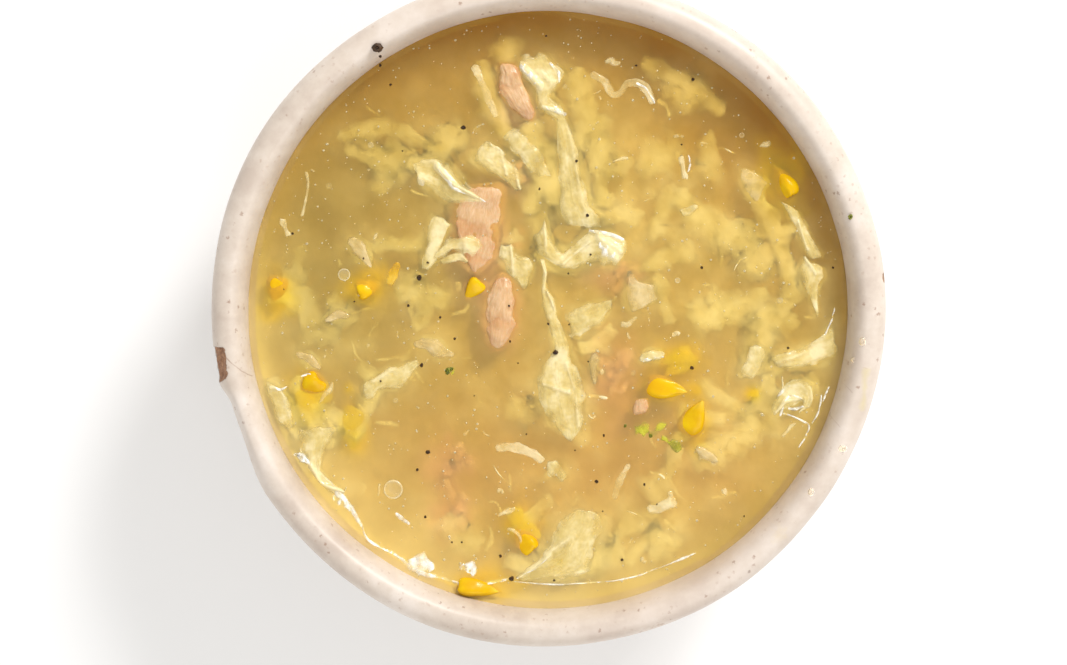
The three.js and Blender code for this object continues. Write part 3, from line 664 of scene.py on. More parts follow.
# %% Cabbage, flakes and threads
cabbage = {
    "cabbage_top_fold": dict(
        sides=([(-6.6, 61.3), (-6.8, 58.4), (-5.9, 55.6), (-3.5, 53.7), (-3.0, 52.0), (-2.3, 48.9), (-0.4, 47.7),
                (2.0, 46.5), (2.3, 41.2), (2.0, 36.4), (2.5, 32.1), (3.0, 26.9), (3.2, 24.0), (4.4, 21.2)],
               [(-0.4, 62.3), (1.6, 59.9), (3.9, 57.5), (2.5, 54.6), (0.4, 51.7), (3.0, 49.8), (3.9, 47.4),
                (5.9, 42.7), (7.1, 38.8), (8.0, 34.1), (9.2, 29.3), (10.2, 25.9), (13.0, 23.3), (12.8, 20.2)]),
        crests=[(-6.3, 58.9, -2.0, 54.1, 1, 1), (-1.1, 49.1, 3.9, 47.9, 0.6, 0.7),
                (4.2, 47.2, 10.2, 18.5, 0.22, 0.6), (3.4, 32.1, 3.8, 25.5, 0.2, 0.5),
                (-2.3, 58.0, 3.0, 52.7, 0.4, 1)],
        rise=0.75, ripple=0.4, waves=2.2, jag=0.25, seed=3),
    "cabbage_tangle": dict(
        sides=([(-10.4, 41.7), (-8.5, 38.8), (-6.1, 36.4), (-4.2, 33.6), (-2.0, 32.4)],
               [(-7.3, 44.1), (-4.7, 41.7), (-2.3, 39.3), (-0.4, 36.4), (0.6, 33.1)]),
        rise=0.55, ripple=0.45, waves=2.4, jag=0.3, seed=11),
    "cabbage_angular": dict(
        sides=([(-14.5, 41.2), (-17.1, 38.8), (-18.0, 36.4), (-14.7, 34.1), (-10.4, 32.1), (-7.5, 29.0)],
               [(-13.7, 41.2), (-11.1, 39.3), (-9.0, 36.9), (-7.3, 35.5), (-6.3, 32.6), (-6.1, 29.3)]),
        crests=[(-11.1, 39.3, -9.7, 33.1, 0.4, 0.5), (-8.0, 36.4, -6.6, 29.3, 0.4, 0.5),
                (-14.5, 41.0, -11.4, 39.6, 0.3, 0.5)],
        rise=0.6, ripple=0.35, jag=0.25, seed=5),
    "cabbage_curl": dict(
        sides=([(-31.4, 33.6), (-30.5, 31.2), (-28.1, 29.8), (-25.7, 28.3), (-23.8, 26.2), (-21.9, 26.2),
                (-19.5, 26.9), (-15.4, 26.6)],
               [(-31.7, 35.5), (-30.0, 36.9), (-27.1, 37.2), (-23.8, 36.0), (-21.9, 33.6), (-19.5, 30.7),
                (-17.1, 28.6), (-14.9, 27.1)]),
        crests=[(-26.2, 35.0, -22.3, 30.7, 1, 0.8), (-22.3, 30.7, -14.9, 26.9, 0.8, 0.5),
                (-30.0, 36.4, -26.6, 36.4, 0.3, 0.6)],
        rise=0.8, ripple=0.5, waves=1.1, curl=0.4, seed=2),
    "cabbage_tapered": dict(
        sides=([(-27.1, 24.0), (-28.3, 20.9), (-29.0, 17.3), (-29.8, 13.7), (-30.2, 10.6)],
               [(-22.8, 21.6), (-24.5, 17.8), (-25.5, 14.9), (-26.6, 12.5), (-28.6, 10.2)]),
        seed=8),
    "cabbage_crumple": dict(
        sides=([(-11.1, 16.4), (-11.8, 13.0), (-10.2, 10.6), (-8.0, 8.7), (-6.1, 5.6)],
               [(-8.7, 16.8), (-7.1, 14.7), (-4.2, 13.3), (-3.0, 11.1), (-4.2, 8.2), (-5.1, 5.9)]),
        crests=[(-8.7, 16.1, -8.2, 9.2, 0.4, 0.4)],
        rise=0.6, ripple=0.45, waves=1.8, seed=14),
    "cabbage_folded": dict(
        sides=([(-3.7, 17.3), (-2.3, 14.5), (0.1, 13.0), (3.0, 11.1), (7.3, 10.9), (11.6, 12.1), (13.5, 11.4),
                (16.4, 12.1), (18.5, 14.5)],
               [(-0.8, 22.6), (0.1, 19.2), (1.6, 16.4), (3.9, 14.9), (6.8, 17.3), (9.7, 19.7), (12.1, 20.2),
                (15.7, 19.2), (18.8, 17.3)]),
        crests=[(3.7, 12.1, 9.9, 17.3, 0.5, 0.5), (10.2, 20.0, 18.3, 18.3, 0.8, 0.6),
                (12.1, 18.8, 16.4, 13.0, 0.6, 0.9), (-0.6, 21.6, -0.4, 14.9, 0.4, 0.5),
                (14.5, 17.3, 17.3, 14.9, 0.5, 0.7)],
        rise=0.8, ripple=0.5, waves=1.7, jag=0.25, seed=6),
    "cabbage_short": dict(
        sides=([(5.1, -5.1), (7.8, -6.1), (10.2, -3.7), (12.5, -3.0), (14.0, -0.4), (15.7, 1.8)],
               [(4.7, 0.1), (6.8, 1.6), (9.7, 2.7), (12.5, 3.0), (15.4, 3.5)]),
        crests=[(5.6, 0.1, 12.1, 2.5, 0.3, 0.6)],
        rise=0.45, seed=4),
    "cabbage_long": dict(
        sides=([(-2.0, 13.3), (-1.1, 10.2), (-1.6, 5.4), (-1.6, 1.8), (-0.1, -1.8), (0.8, -5.4), (1.6, -8.5),
                (-1.1, -11.4), (-2.7, -15.7), (-2.3, -19.7), (-1.1, -23.3), (0.6, -26.6), (3.0, -29.0),
                (5.1, -30.7)],
               [(-0.8, 13.3), (-0.1, 10.2), (-0.4, 6.3), (1.6, 3.5), (2.3, -0.6), (3.9, -4.2), (5.4, -7.8),
                (6.3, -11.8), (7.8, -14.2), (9.2, -18.5), (9.2, -23.3), (8.0, -27.6), (6.1, -30.0), (5.6, -31.0)]),
        crests=[(-2.0, 13.0, -0.4, 9.7, 0.3, 0.4), (-0.4, 9.7, -1.1, 5.9, 0.3, 0.4), (-0.1, 5.4, 2.0, 0.6, 0.4, 0.4),
                (-1.1, -16.8, 5.1, -18.8, 0.45, 0.5), (4.4, -11.8, 6.3, -17.6, 0.35, 0.5),
                (2.5, -1.3, 6.3, -8.0, 0.3, 0.4), (6.8, -20.0, 7.5, -26.9, 0.3, 0.5)],
        rise=0.65, ripple=0.35, waves=2.6, jag=0.2, seed=9),
    "cabbage_bent": dict(
        sides=([(-43.9, -20.9), (-41.5, -20.9), (-40.5, -18.5), (-37.6, -18.0), (-34.8, -17.6), (-32.9, -15.2),
                (-30.5, -12.3)],
               [(-44.8, -18.0), (-42.9, -15.7), (-40.5, -14.2), (-37.6, -12.8), (-34.5, -12.1), (-31.4, -10.9)]),
        crests=[(-41.9, -16.1, -36.7, -12.8, 0.35, 0.6)],
        rise=0.4, seed=12),
    "cabbage_by_wall": dict(
        sides=([(-67.8, -15.7), (-67.8, -19.0), (-66.3, -22.8), (-64.9, -26.2), (-62.5, -28.1)],
               [(-65.6, -17.1), (-63.5, -18.5), (-62.0, -21.4), (-61.1, -24.5), (-61.3, -27.6)]),
        crests=[(-66.3, -17.6, -63.9, -17.6, 0.5, 0.6), (-63.5, -19.0, -61.8, -24.3, 0.3, 0.5)],
        waves=1.5, seed=15),
    "cabbage_low_wall": dict(
        sides=([(-60.1, -28.1), (-59.6, -31.7), (-58.7, -34.8), (-57.2, -37.6), (-55.3, -40.5), (-52.9, -42.9),
                (-50.5, -44.1)],
               [(-54.9, -26.9), (-50.5, -27.8), (-52.5, -31.7), (-54.4, -34.8), (-54.9, -37.6), (-51.5, -41.0),
                (-48.6, -43.1)]),
        crests=[(-59.9, -32.9, -58.7, -35.3, 0.7, 0.6), (-56.8, -36.7, -54.9, -40.5, 0.7, 0.6),
                (-54.4, -41.0, -48.9, -42.9, 0.6, 0.5)],
        rise=0.4, waves=2.2, seed=16),
    "cabbage_big_leaf": dict(
        sides=([(-8.0, -64.2), (-5.1, -61.5), (-2.3, -59.6), (-0.4, -56.8), (0.6, -53.9), (2.5, -50.8), (4.9, -48.2),
                (7.3, -46.7)],
               [(-7.5, -64.9), (-4.7, -64.9), (-0.4, -64.6), (3.9, -64.4), (7.8, -63.5), (10.4, -62.3),
                (11.4, -58.2), (12.5, -54.4), (14.0, -51.5), (13.5, -49.1), (10.6, -47.7)]),
        crests=[(-7.1, -63.9, 0.6, -58.2, 0.4, 0.6), (-0.4, -58.2, 5.4, -53.9, 0.4, 0.6),
                (1.6, -63.5, 10.9, -62.0, 0.4, 0.6), (8.0, -47.2, 11.1, -48.2, 0.3, 0.5)],
        rise=0.65, ripple=0.35, jag=0.12, seed=10),
    "cabbage_right_strip": dict(
        sides=([(54.1, -12.8), (57.5, -13.3), (61.3, -12.8), (64.6, -12.5), (67.5, -11.4), (69.7, -9.4)],
               [(52.7, -10.6), (56.3, -9.4), (59.9, -8.5), (62.7, -6.8), (65.6, -4.7), (68.5, -3.5)]),
        crests=[(57.5, -9.4, 66.1, -5.1, 0.4, 0.5), (54.1, -11.8, 61.3, -9.4, 0.3, 0.6)],
        rise=0.6, ripple=0.35, seed=13),
    "cabbage_right_scrap": dict(
        sides=([(47.9, -7.8), (47.4, -10.4), (46.5, -12.8), (46.0, -15.7)],
               [(51.3, -7.5), (52.7, -10.4), (51.7, -12.8), (49.8, -15.7)]),
        rise=0.35, seed=17),
    "cabbage_right_curl": dict(
        sides=([(54.6, -24.7), (55.8, -23.3), (57.5, -22.3), (59.4, -21.9), (60.6, -20.9), (61.3, -20.9),
                (61.3, -21.9), (60.3, -23.8)],
               [(53.4, -24.3), (53.9, -21.4), (55.6, -18.5), (58.0, -16.1), (60.8, -15.2), (63.2, -17.1),
                (63.7, -20.0), (62.7, -22.8)]),
        crests=[(54.4, -24.0, 56.8, -20.9, 0.5, 0.5), (56.8, -20.9, 60.6, -20.2, 0.6, 0.5),
                (63.2, -17.6, 63.5, -21.9, 0.4, 0.5), (56.3, -23.8, 62.7, -26.6, 0.3, 0.5)],
        rise=0.75, ripple=0.45, waves=2.1, curl=0.3, seed=18),
    "cabbage_side_strip": dict(
        sides=([(55.3, 26.9), (57.0, 24.0), (58.7, 20.9), (60.1, 17.3), (61.3, 14.5), (62.7, 13.0)],
               [(57.0, 26.2), (59.9, 24.5), (61.3, 21.6), (62.7, 18.5), (64.6, 15.7), (66.1, 13.5)]),
        crests=[(59.6, 22.1, 61.8, 15.4, 0.5, 0.35)],
        rise=0.4, waves=1.6, seed=19),
    "cabbage_side_leaf": dict(
        sides=([(61.3, 13.7), (59.9, 10.6), (60.8, 6.8), (62.7, 3.0), (64.4, -0.8)],
               [(63.5, 12.1), (66.1, 11.1), (66.6, 9.0), (65.1, 6.8), (64.6, 3.5), (64.9, -0.6)]),
        crests=[(61.3, 13.5, 63.9, 9.7, 0.5, 0.4)],
        rise=0.4, seed=20),
    "cabbage_glint": dict(spine=[[21.9, -11.1, 1.9], [25, -9.9, 3.1], [28.1, -9.7, 1.4]], rise=0.4, seed=30),
    "cabbage_knot": dict(
        spine=[[0.4, -36, 2.4], [2, -37.9, 4.1], [4.2, -40.3, 2.2]],
        rise=0.5, ripple=0.4, waves=1.6, seed=31),
    "cabbage_small_curl": dict(spine=[[31.4, 24, 1.9], [33.6, 24.7, 2.9], [35.5, 25.9, 1.4]], rise=0.5, seed=32),
}
low = dict(rise=0.35, ripple=0.2)
flakes = {
    "flake_right": dict(
        sides=([(45.8, 35.0), (46.0, 31.7), (47.2, 29.3), (49.4, 26.6)],
               [(46.7, 35.0), (49.6, 33.6), (52.2, 31.2), (51.3, 29.3), (50.3, 26.9)]),
        **low, clear=0.3, seed=21),
    "flake_centre": dict(
        sides=([(19.2, 9.7), (18.5, 6.6), (18.5, 3.5), (19.7, 0.6), (20.9, 0.4)],
               [(20.4, 9.7), (22.1, 7.8), (25.9, 6.8), (26.2, 3.5), (24.0, 1.8), (21.6, 0.8)]),
        crests=[(19.2, 9.7, 18.8, 3.9, 0.25, 0.4), (20.2, 0.6, 21.6, 5.4, 0.25, 0.5)],
        **low, clear=0.55, jag=0.15, seed=22),
    "flake_left": dict(
        sides=([(-31.9, -8.0), (-29.0, -9.0), (-27.1, -10.9), (-25.2, -10.9), (-22.6, -10.2)],
               [(-32.6, -6.8), (-30.0, -5.6), (-26.2, -5.6), (-24.5, -7.5), (-22.3, -9.4)]),
        **low, seed=23),
    "flake_curl": dict(
        sides=([(10.4, -9.4), (9.7, -11.8), (10.2, -14.7), (10.9, -17.1)],
               [(12.5, -10.2), (11.8, -12.3), (12.1, -14.7), (11.6, -17.1)]),
        **low, seed=24),
    "flake_upper_left": dict(low, spine=[[-47.2, 18, 3.1], [-44.8, 15.2, 3.8], [-42.2, 11.4, 1]], seed=33),
    "flake_far_left": dict(low, spine=[[-52.9, -1.6, 1.2], [-50.1, -0.4, 2.9], [-47.2, -0.4, 1]], seed=34),
    "flake_by_corn": dict(low, spine=[[-60.1, -9.5, 1.2], [-57.2, -10.8, 3], [-54.4, -13.3, 1]], seed=35),
    "flake_low_right": dict(low, spine=[[35.3, -32.1, 1.4], [37.9, -33.6, 3.3], [40.7, -35.5, 1.7]], seed=36),
}
thin = dict(low, curl=0, thick=0.16, crease=0.25, dip=0.12, fine=0.3, clear=0.5)
strands = {
    "strand_squiggle": dict(
        spine=[[10.2, 57.2, 1.4], [13.4, 55, 2], [15.1, 52.2, 1.7], [17, 52.2, 1.7], [19, 54.8, 1.6],
               [22.6, 54, 2.1], [25, 50, 1.7]],
        **thin, jag=0.2, seed=25),
    "strand_low": dict(thin, spine=[[-12.5, -32.4, 1.7], [-7.3, -32.1, 2.9], [-1.1, -35.3, 1.7]], seed=26),
    "strand_right": dict(thin, spine=[[19.5, -36.4, 1.2], [17.3, -40.5, 2.4], [16.1, -44.8, 1.2]], seed=27),
    "strand_pale": dict(thin, spine=[[-17.3, 58.7, 1.7], [-14.9, 53.2, 2.2], [-12.1, 46.7, 1.4]], seed=28),
}
skins = {"corn_skin": dict(low, spine=[[-37.9, 6.6, 1.7], [-36.9, 9.4, 2.9], [-35.7, 12.1, 1.9]], seed=37)}
greens = {"onion_sliver": dict(low, spine=[[29, -30.5, 1.7], [30.5, -31.7, 2.4], [31.9, -33.3, 1.4]], seed=29)}


# %% Leaves on the broth
def widened(shape, grow, rise):
    """The same leaf, broader and lower: the part of it that stays under the surface."""
    new = {**shape, "rise": rise, "crests": (), "thick": 0.3, "fine": 0.8, "jag": 0.55, "slip": 0.2}
    new["seed"] += 50
    if "sides" in shape:
        left, right = (even(side, 24) for side in shape["sides"])
        middle = (left + right) / 2
        new["sides"] = [middle + (left - middle) * grow, middle + (right - middle) * grow]
    else:
        new["spine"] = [[x, y, w * (grow + 0.5)] for x, y, w in shape["spine"]]
    return leaf(**new)


floating = []      # points of everything that breaks the surface
skirts = []        # the sunk parts of leaves
LEAVES = ((cabbage, cabbage_finish, "cabbage"), (flakes, flake_finish, "flake"), (strands, thread_finish, "strand"),
          (skins, skin_finish, "sweetcorn"), (greens, green_finish, "green_onion"))
for kind, finish, slot in LEAVES:
    for node, shape in kind.items():
        lower = 0.45 * shape["rise"] + 0.04 if "rise" in shape else 0.2
        p, f, marks = leaf(**{**shape, "rise": lower, "ripple": 0.6 * shape.get("ripple", 0.3)})
        if slot in ("cabbage", "flake"):
            skirts.append(widened(shape, 1.6, -0.8))
        piece("wet_" + node, p, f, finish, slot, [node], marks)
        floating.append(p)
print("leaves and threads:", len(floating), "pieces,", sum(map(len, floating)), "points")

# %% [markdown]
# ## Chicken
# Cooked breast meat torn along its fibres: a rounded shred with lengthwise grooves and steps where a layer of fibres
# ends, pale pink to beige. Its colour is lighter on the fibres' ridges, a painted highlight, and darker in the
# grooves and at the steps, a painted shade. It could be sculpted; here rings of points are laid between two traced
# sides, so the outline stays as traced while noise stretched along the meat makes the fibres.

# %% The finish of chicken
chicken_finish = Finish("chicken")
m = chicken_finish
where = m.place()
fibre = m.node("CombineXYZ", 0, {"X": m.mark("across"), "Y": m.times(m.mark("along"), 0.22), "Z": m.mark("tone")})
strand = m.node("TexNoise", "Fac", {"Vector": fibre, "Scale": 2.6, "Detail": 4, "Roughness": 0.6, "Distortion": 0.4})
blotch = m.noise(where, 160, 3, 0.5)
colour = m.ramp(blotch, (0.3, rgb(200, 150, 100)), (0.5, rgb(212, 170, 120)), (0.72, rgb(222, 184, 138)))
# Lighter on the fibres' ridges, a painted highlight, and darker in their grooves, a painted shade.
colour = m.mix(m.range(strand, 0.45, 0.7, 0, 0.35), colour, rgb(246, 216, 184))
colour = m.mix(m.range(strand, 0.45, 0.28, 0, 0.3), colour, rgb(206, 142, 98))
# Darker where the meat steps down, a painted shade.
colour = m.mix(m.range(m.mark("step"), 0.0, 0.12, 0, 0.6), colour, rgb(206, 148, 92))
colour = m.sink(colour, where, 2.6, 0.85)
side = m.plus(m.mark("side"), m.range(m.noise(where, 330, 3), 0.3, 0.7, -0.35, 0.25))
colour = m.mix(m.range(side, 0.65, 1.0, 0, 0.8), colour, rgb(228, 190, 130))
grain = m.bump(strand, 0.4, 0.0004)
grain = m.bump(m.noise(where, 1200, 3), 0.3, 0.0002, grain)
m.set(Base_Color=colour, Roughness=m.range(strand, 0.3, 0.7, 0.32, 0.5), Normal=grain, IOR=1.4)
m.set(Subsurface_Weight=0.25, Subsurface_Radius=(0.002, 0.001, 0.0006), Subsurface_Scale=1.0)
m.coat(0.5, 0.12, WATER)


# %% Shreds of chicken
def shred(sides, height, rise, seed, rings=96, around=80, lobes=()):
    """A rounded, fibrous body between two traced sides. lobes: shares of its length where it steps down."""
    left, right = even(sides[0], rings + 2)[1:-1], even(sides[1], rings + 2)[1:-1]
    middle, half = (left + right) / 2, (left - right) / 2
    width = 2 * np.linalg.norm(half, axis=1)
    length = np.linalg.norm(np.diff(middle, axis=0), axis=1).sum()
    s = np.linspace(0, 1, rings + 2)[1:-1][:, None]
    a = np.linspace(0, 2 * math.pi, around, endpoint=False)[None, :]
    round_off = np.minimum(1, (np.sin(math.pi * s) * 1.6)) ** 0.4
    flatten = lambda t: np.sign(t) * np.abs(t) ** 0.85
    tip, up = np.cos(a) * width.max() / 2 + 0 * s, np.sin(a) * 3 + 0 * s
    fibres = noise(flat(tip * 1.7, up, s * length / 10 + seed * 3), 1.0, seed).reshape(rings, around)
    lumps = rough(flat(tip, up, s * length + seed * 20), 3.6, seed + 3, 4).reshape(rings, around)
    swells = noise(flat(tip * 0.6, up * 0.3, s * length * 0.8 + seed * 11), 3.4, seed + 9).reshape(rings, around)
    bow = 0.0525 * np.cos(a) + 0.07 * lumps
    step = 0 * s
    for share in lobes:
        groove = 0.03 * np.exp(-(((s + bow - share) / 0.025) ** 2))
        shelf = 0.09 * smooth(share - 0.03, share + 0.03, s + bow) * (1 - smooth(share, share + 0.18, s))
        step = step + groove + shelf
    reach = flatten(np.cos(a)) * (1 + 0.16 * lumps + 0.03 * fibres)
    swollen = 1 + 0.14 * lumps + 0.12 * swells + 0.05 * fibres
    lift = height / 2 * round_off * (swollen * flatten(np.sin(a)) - step * (np.sin(a) > 0))
    x = middle[:, :1] + half[:, :1] * reach
    y = middle[:, 1:] + half[:, 1:] * reach
    points = flat(x, y, LEVEL + rise + lift)
    ends = [[*middle[0], LEVEL + rise], [*middle[-1], LEVEL + rise]]
    n = rings * around
    faces = grid_faces(rings, around, closed=True)[:, ::-1].tolist()
    faces += [[n, (j + 1) % around, j] for j in range(around)]
    faces += [[n + 1, n - around + j, n - around + (j + 1) % around] for j in range(around)]
    marks = {"across": np.append(tip.ravel(), [0, 0]), "along": np.append((s * length + 0 * a).ravel(), [0, length]),
             "side": np.append(np.maximum(np.abs(np.cos(a)) + 0 * s, 1 - 6 * np.minimum(s, 1 - s)).ravel(), [1, 1]),
             "tone": np.full(n + 2, seed * 1.7), "step": np.append((step + 0 * a).ravel(), [0, 0])}
    return np.concatenate([points, ends]), faces, marks


chicken = {
    "chicken_knob": dict(
        sides=([(-12.5, 59.9), (-11.8, 56.8), (-12.5, 53.7), (-10.6, 51.3), (-9.0, 48.9), (-6.1, 46.5),
                (-4.7, 45.5)],
               [(-8.0, 59.9), (-6.1, 56.8), (-4.7, 53.7), (-3.9, 50.8), (-3.0, 47.9), (-3.2, 45.5)]),
        height=5.0, rise=-1.5, seed=1, lobes=(0.35,)),
    "chicken_large": dict(
        sides=([(-17.1, 31.2), (-20.0, 29.8), (-22.6, 25.7), (-23.3, 21.6), (-22.6, 17.8), (-21.9, 13.0),
                (-19.5, 10.6), (-18.0, 8.5)],
               [(-11.1, 31.9), (-10.2, 29.3), (-9.9, 25.7), (-10.2, 20.9), (-11.1, 16.1), (-12.3, 13.0),
                (-15.2, 10.6), (-16.8, 8.5)]),
        height=5.4, rise=-2.05, seed=2, lobes=(0.46, 0.74)),
    "chicken_lower": dict(
        sides=([(-12.1, 10.2), (-14.7, 6.6), (-16.1, 3.0), (-16.1, -0.6), (-15.7, -3.7), (-14.7, -6.6),
                (-13.7, -9.9)],
               [(-9.4, 10.2), (-6.6, 6.6), (-6.6, 3.0), (-7.3, -0.6), (-7.5, -3.7), (-9.0, -6.6), (-11.8, -9.7)]),
        height=5.2, rise=-1.95, seed=3, lobes=(0.6,)),
    "chicken_scrap": dict(
        sides=([(20.7, -20.4), (20.2, -22.8), (20.4, -24.7)],
               [(24.0, -20.2), (24.5, -22.3), (24.0, -24.0)]),
        height=3.2, rise=-1.05, seed=4),
}
meat_skirts = []
for node, shape in chicken.items():
    p, f, marks = shred(**shape)
    piece("wet_" + node, p, f, chicken_finish.material, "chicken", [node], marks)
    meat_skirts.append(widened(dict(sides=shape["sides"], seed=shape["seed"]), 1.4, -0.55))
    floating.append(p)

# %% [markdown]
# ## Sweetcorn
# A kernel is a flattened tooth: a broad domed crown with a slight dent, and a narrow pale end where it was cut off
# the cob. A cube under a Subdivision modifier comes close; a ball of rings, squared off and tapered by formula,
# gives every kernel its own lumps. Its skin is smooth and shiny, deep yellow in the body and lighter at the rim.

# %% The finish of sweetcorn
corn_finish = Finish("sweetcorn")
m = corn_finish
where = m.place()
tip = m.mark("crown")
tone = m.noise(where, 210, 3, 0.5)
colour = m.ramp(tone, (0.3, rgb(222, 168, 0)), (0.5, rgb(226, 178, 0)), (0.7, rgb(236, 196, 0)))
colour = m.mix(m.range(tip, -0.5, -1.0, 0, 0.7), colour, rgb(240, 206, 80))
colour = m.mix(m.range(m.noise(where, 500, 2), 0.55, 0.75, 0, 0.2), colour, rgb(222, 156, 0))
colour = m.sink(colour, where, 3.2, 0.75)
ripple = m.bump(m.noise(where, 420, 2, 0.4), 0.25, 0.0005)
m.set(Specular_IOR_Level=0.2)
m.set(Base_Color=colour, Roughness=m.range(m.noise(where, 300, 2), 0.3, 0.7, 0.26, 0.4), Normal=ripple, IOR=1.42)
m.coat(0.3, 0.06, WATER)


# %% Kernels of sweetcorn
def kernel(at, size, heading, pitch=0, roll=0, rise=0, seed=1, rings=34, around=40):
    """A kernel at a place, with its length, width and thickness in mm and its turns in degrees."""
    t = np.radians(np.linspace(2, 178, rings))[:, None]
    a = np.linspace(0, 2 * math.pi, around, endpoint=False)[None, :]
    y = np.cos(t) + 0 * a
    blunt = np.sign(np.cos(a)) * np.abs(np.cos(a)) ** 0.62, np.sign(np.sin(a)) * np.abs(np.sin(a)) ** 0.7
    taper = 0.78 + 0.42 * y - 0.12 * y * y
    dent = 1 - 0.2 * np.exp(-((np.sin(t) / 0.4) ** 2)) * (y > 0)
    lump = 1 + 0.09 * noise(flat(y * 2, np.sin(a) * 2, seed * 9.0 + np.cos(a) * 2), 1.1, seed).reshape(rings, around)
    thin = np.sin(t) ** 0.7
    across = thin * taper * lump
    p = flat(y * dent * size[0] / 2 * lump, across * blunt[0] * size[1] / 2, across * blunt[1] * size[2] / 2)
    for axis, degrees in (((1, 2), roll), ((2, 0), -pitch), ((0, 1), heading)):
        c, s = math.cos(math.radians(degrees)), math.sin(math.radians(degrees))
        i, j = axis
        p[:, i], p[:, j] = p[:, i] * c - p[:, j] * s, p[:, i] * s + p[:, j] * c
    p += [at[0], at[1], LEVEL + rise]
    n = rings * around
    faces = grid_faces(rings, around, closed=True).tolist()
    faces += [list(range(around))[::-1], list(range(n - around, n))]
    return p, faces, {"crown": y.ravel()}


corn = {
    "corn_left": dict(at=[-42.9, 6.1], size=[7, 5.6, 4], heading=200, pitch=12, roll=20, rise=-1.6),
    "corn_on_chicken": dict(at=[-17.8, 5.8], size=[6.4, 4.8, 3], heading=52, pitch=8, roll=15, rise=-0.2),
    "corn_upper_right": dict(at=[56, 31.4], size=[9.6, 7, 4.6], heading=-62, pitch=8, roll=50, rise=-1.7),
    "corn_wedge": dict(at=[28.3, -18], size=[10.6, 6.6, 4.2], heading=172, pitch=-8, roll=8, rise=-1),
    "corn_upright": dict(at=[35.2, -25.2], size=[10, 7, 4.8], heading=246, pitch=-22, roll=12, rise=-0.8),
    "corn_bottom": dict(at=[-5.9, -54.5], size=[9, 5.8, 4.4], heading=-52, pitch=10, roll=15, rise=-1.6),
    "corn_by_wall": dict(at=[-16.8, -66.6], size=[11, 5.4, 4.6], heading=172, pitch=0, roll=30, rise=-0.5),
    "corn_low_left": dict(at=[-57.2, -17.6], size=[8.6, 6.6, 4.6], heading=40, pitch=16, roll=15, rise=-1.5),
    "corn_far_left": dict(at=[-64.8, 5.6], size=[7.6, 6, 4.2], heading=80, pitch=6, roll=10, rise=-1.9),
}
for k, (node, shape) in enumerate(corn.items()):
    p, f, marks = kernel(**shape, seed=k + 1)
    piece("wet_" + node, p, f, corn_finish.material, "sweetcorn", [node], marks)
    floating.append(p)

# %% [markdown]
# ## The broth
# The broth is a cloudy liquid, thickened with starch. Its surface is nearly flat, climbs a little at the wall and at
# each floating piece, and is shiny. A fluid simulation would settle into the same shape after a long wait, so the
# surface is worked out from how far each point is from the wall and from the nearest floating piece.

# %% Rings of points
def disc(radius, spacing):
    """Points over a disc in rings about one spacing apart, and the triangles between them."""
    rings = int(round(radius / spacing))
    points, faces, start = [[0.0, 0.0]], [], 0
    counts = [1]
    for r in range(1, rings + 1):
        n = 6 * r
        a = np.arange(n) * 2 * math.pi / n
        ring = radius * r / rings
        points += np.stack([ring * np.cos(a), ring * np.sin(a)], 1).tolist()
        before, size = start, counts[-1]
        start += size
        counts.append(n)
        for side in range(6):
            for k in range(r):
                outer, outer_next = start + side * r + k, start + (side * r + k + 1) % n
                inner = before + (side * (r - 1) + k) % size
                faces.append([inner, outer, outer_next])
                if k < r - 1:
                    inner_next = before + (side * (r - 1) + k + 1) % size
                    faces.append([inner, outer_next, inner_next])
    return np.array(points), faces, start, counts[-1]


# %% The broth's surface
def from_above(points):
    """A tree that finds the nearest of these points, with heights left aside."""
    tree = KDTree(len(points))
    for i, p in enumerate(points):
        tree.insert((p[0], p[1], 0), i)
    tree.balance()
    return tree


def gaps(tree, places):
    """How far each place is from the nearest point in a tree, in mm."""
    return np.array([tree.find((p[0], p[1], 0))[2] for p in places])


TOUCH = 1.2       # mm over which the broth climbs a wall or a leaf
afloat = np.concatenate(floating)
food = from_above(afloat[afloat[:, 2] > LEVEL - 0.05])
surface, top_faces, rim_start, rim_count = disc(EDGE + 0.12, 0.5)
near = gaps(food, surface)
from_wall = EDGE - np.hypot(surface[:, 0], surface[:, 1])
at = flat(surface[:, 0], surface[:, 1], 0)
beside = smooth(0, 0.7, near)      # 0 under a floating piece, 1 beside it
climb = 0.3 * np.exp(-np.maximum(from_wall, 0) / TOUCH)
cling = 0.07 * np.exp(-np.maximum(near - 0.6, 0) / TOUCH) * beside - 0.04 * (1 - beside)
level = LEVEL + climb + cling + 0.05 * rough(at, 9, 70, 2)
top = flat(surface[:, 0], surface[:, 1], level)

# down the inside of the wall and across its floor, a hair inside the clay
wall = np.concatenate([
    [[EDGE, 56.2], [71.5, 55.7], [70.75, 54.4]], arc(34, 52, 35.85, 41.54, -1, -90, 24), [[20, 10.46]]])
a = np.arange(rim_count) * 2 * math.pi / rim_count
skirt = np.concatenate([flat(r * np.cos(a), r * np.sin(a), z) for r, z in wall])
n = len(top)
faces = list(top_faces)
rows = np.concatenate([np.arange(rim_start, rim_start + rim_count), n + np.arange(len(skirt))])
for row in grid_faces(len(wall) + 1, rim_count, closed=True):
    faces.append([int(rows[v]) for v in row[::-1]])
faces.append([int(v) for v in rows[-rim_count:]][::-1])
body = np.concatenate([top, skirt])
print("broth:", len(body), "points")
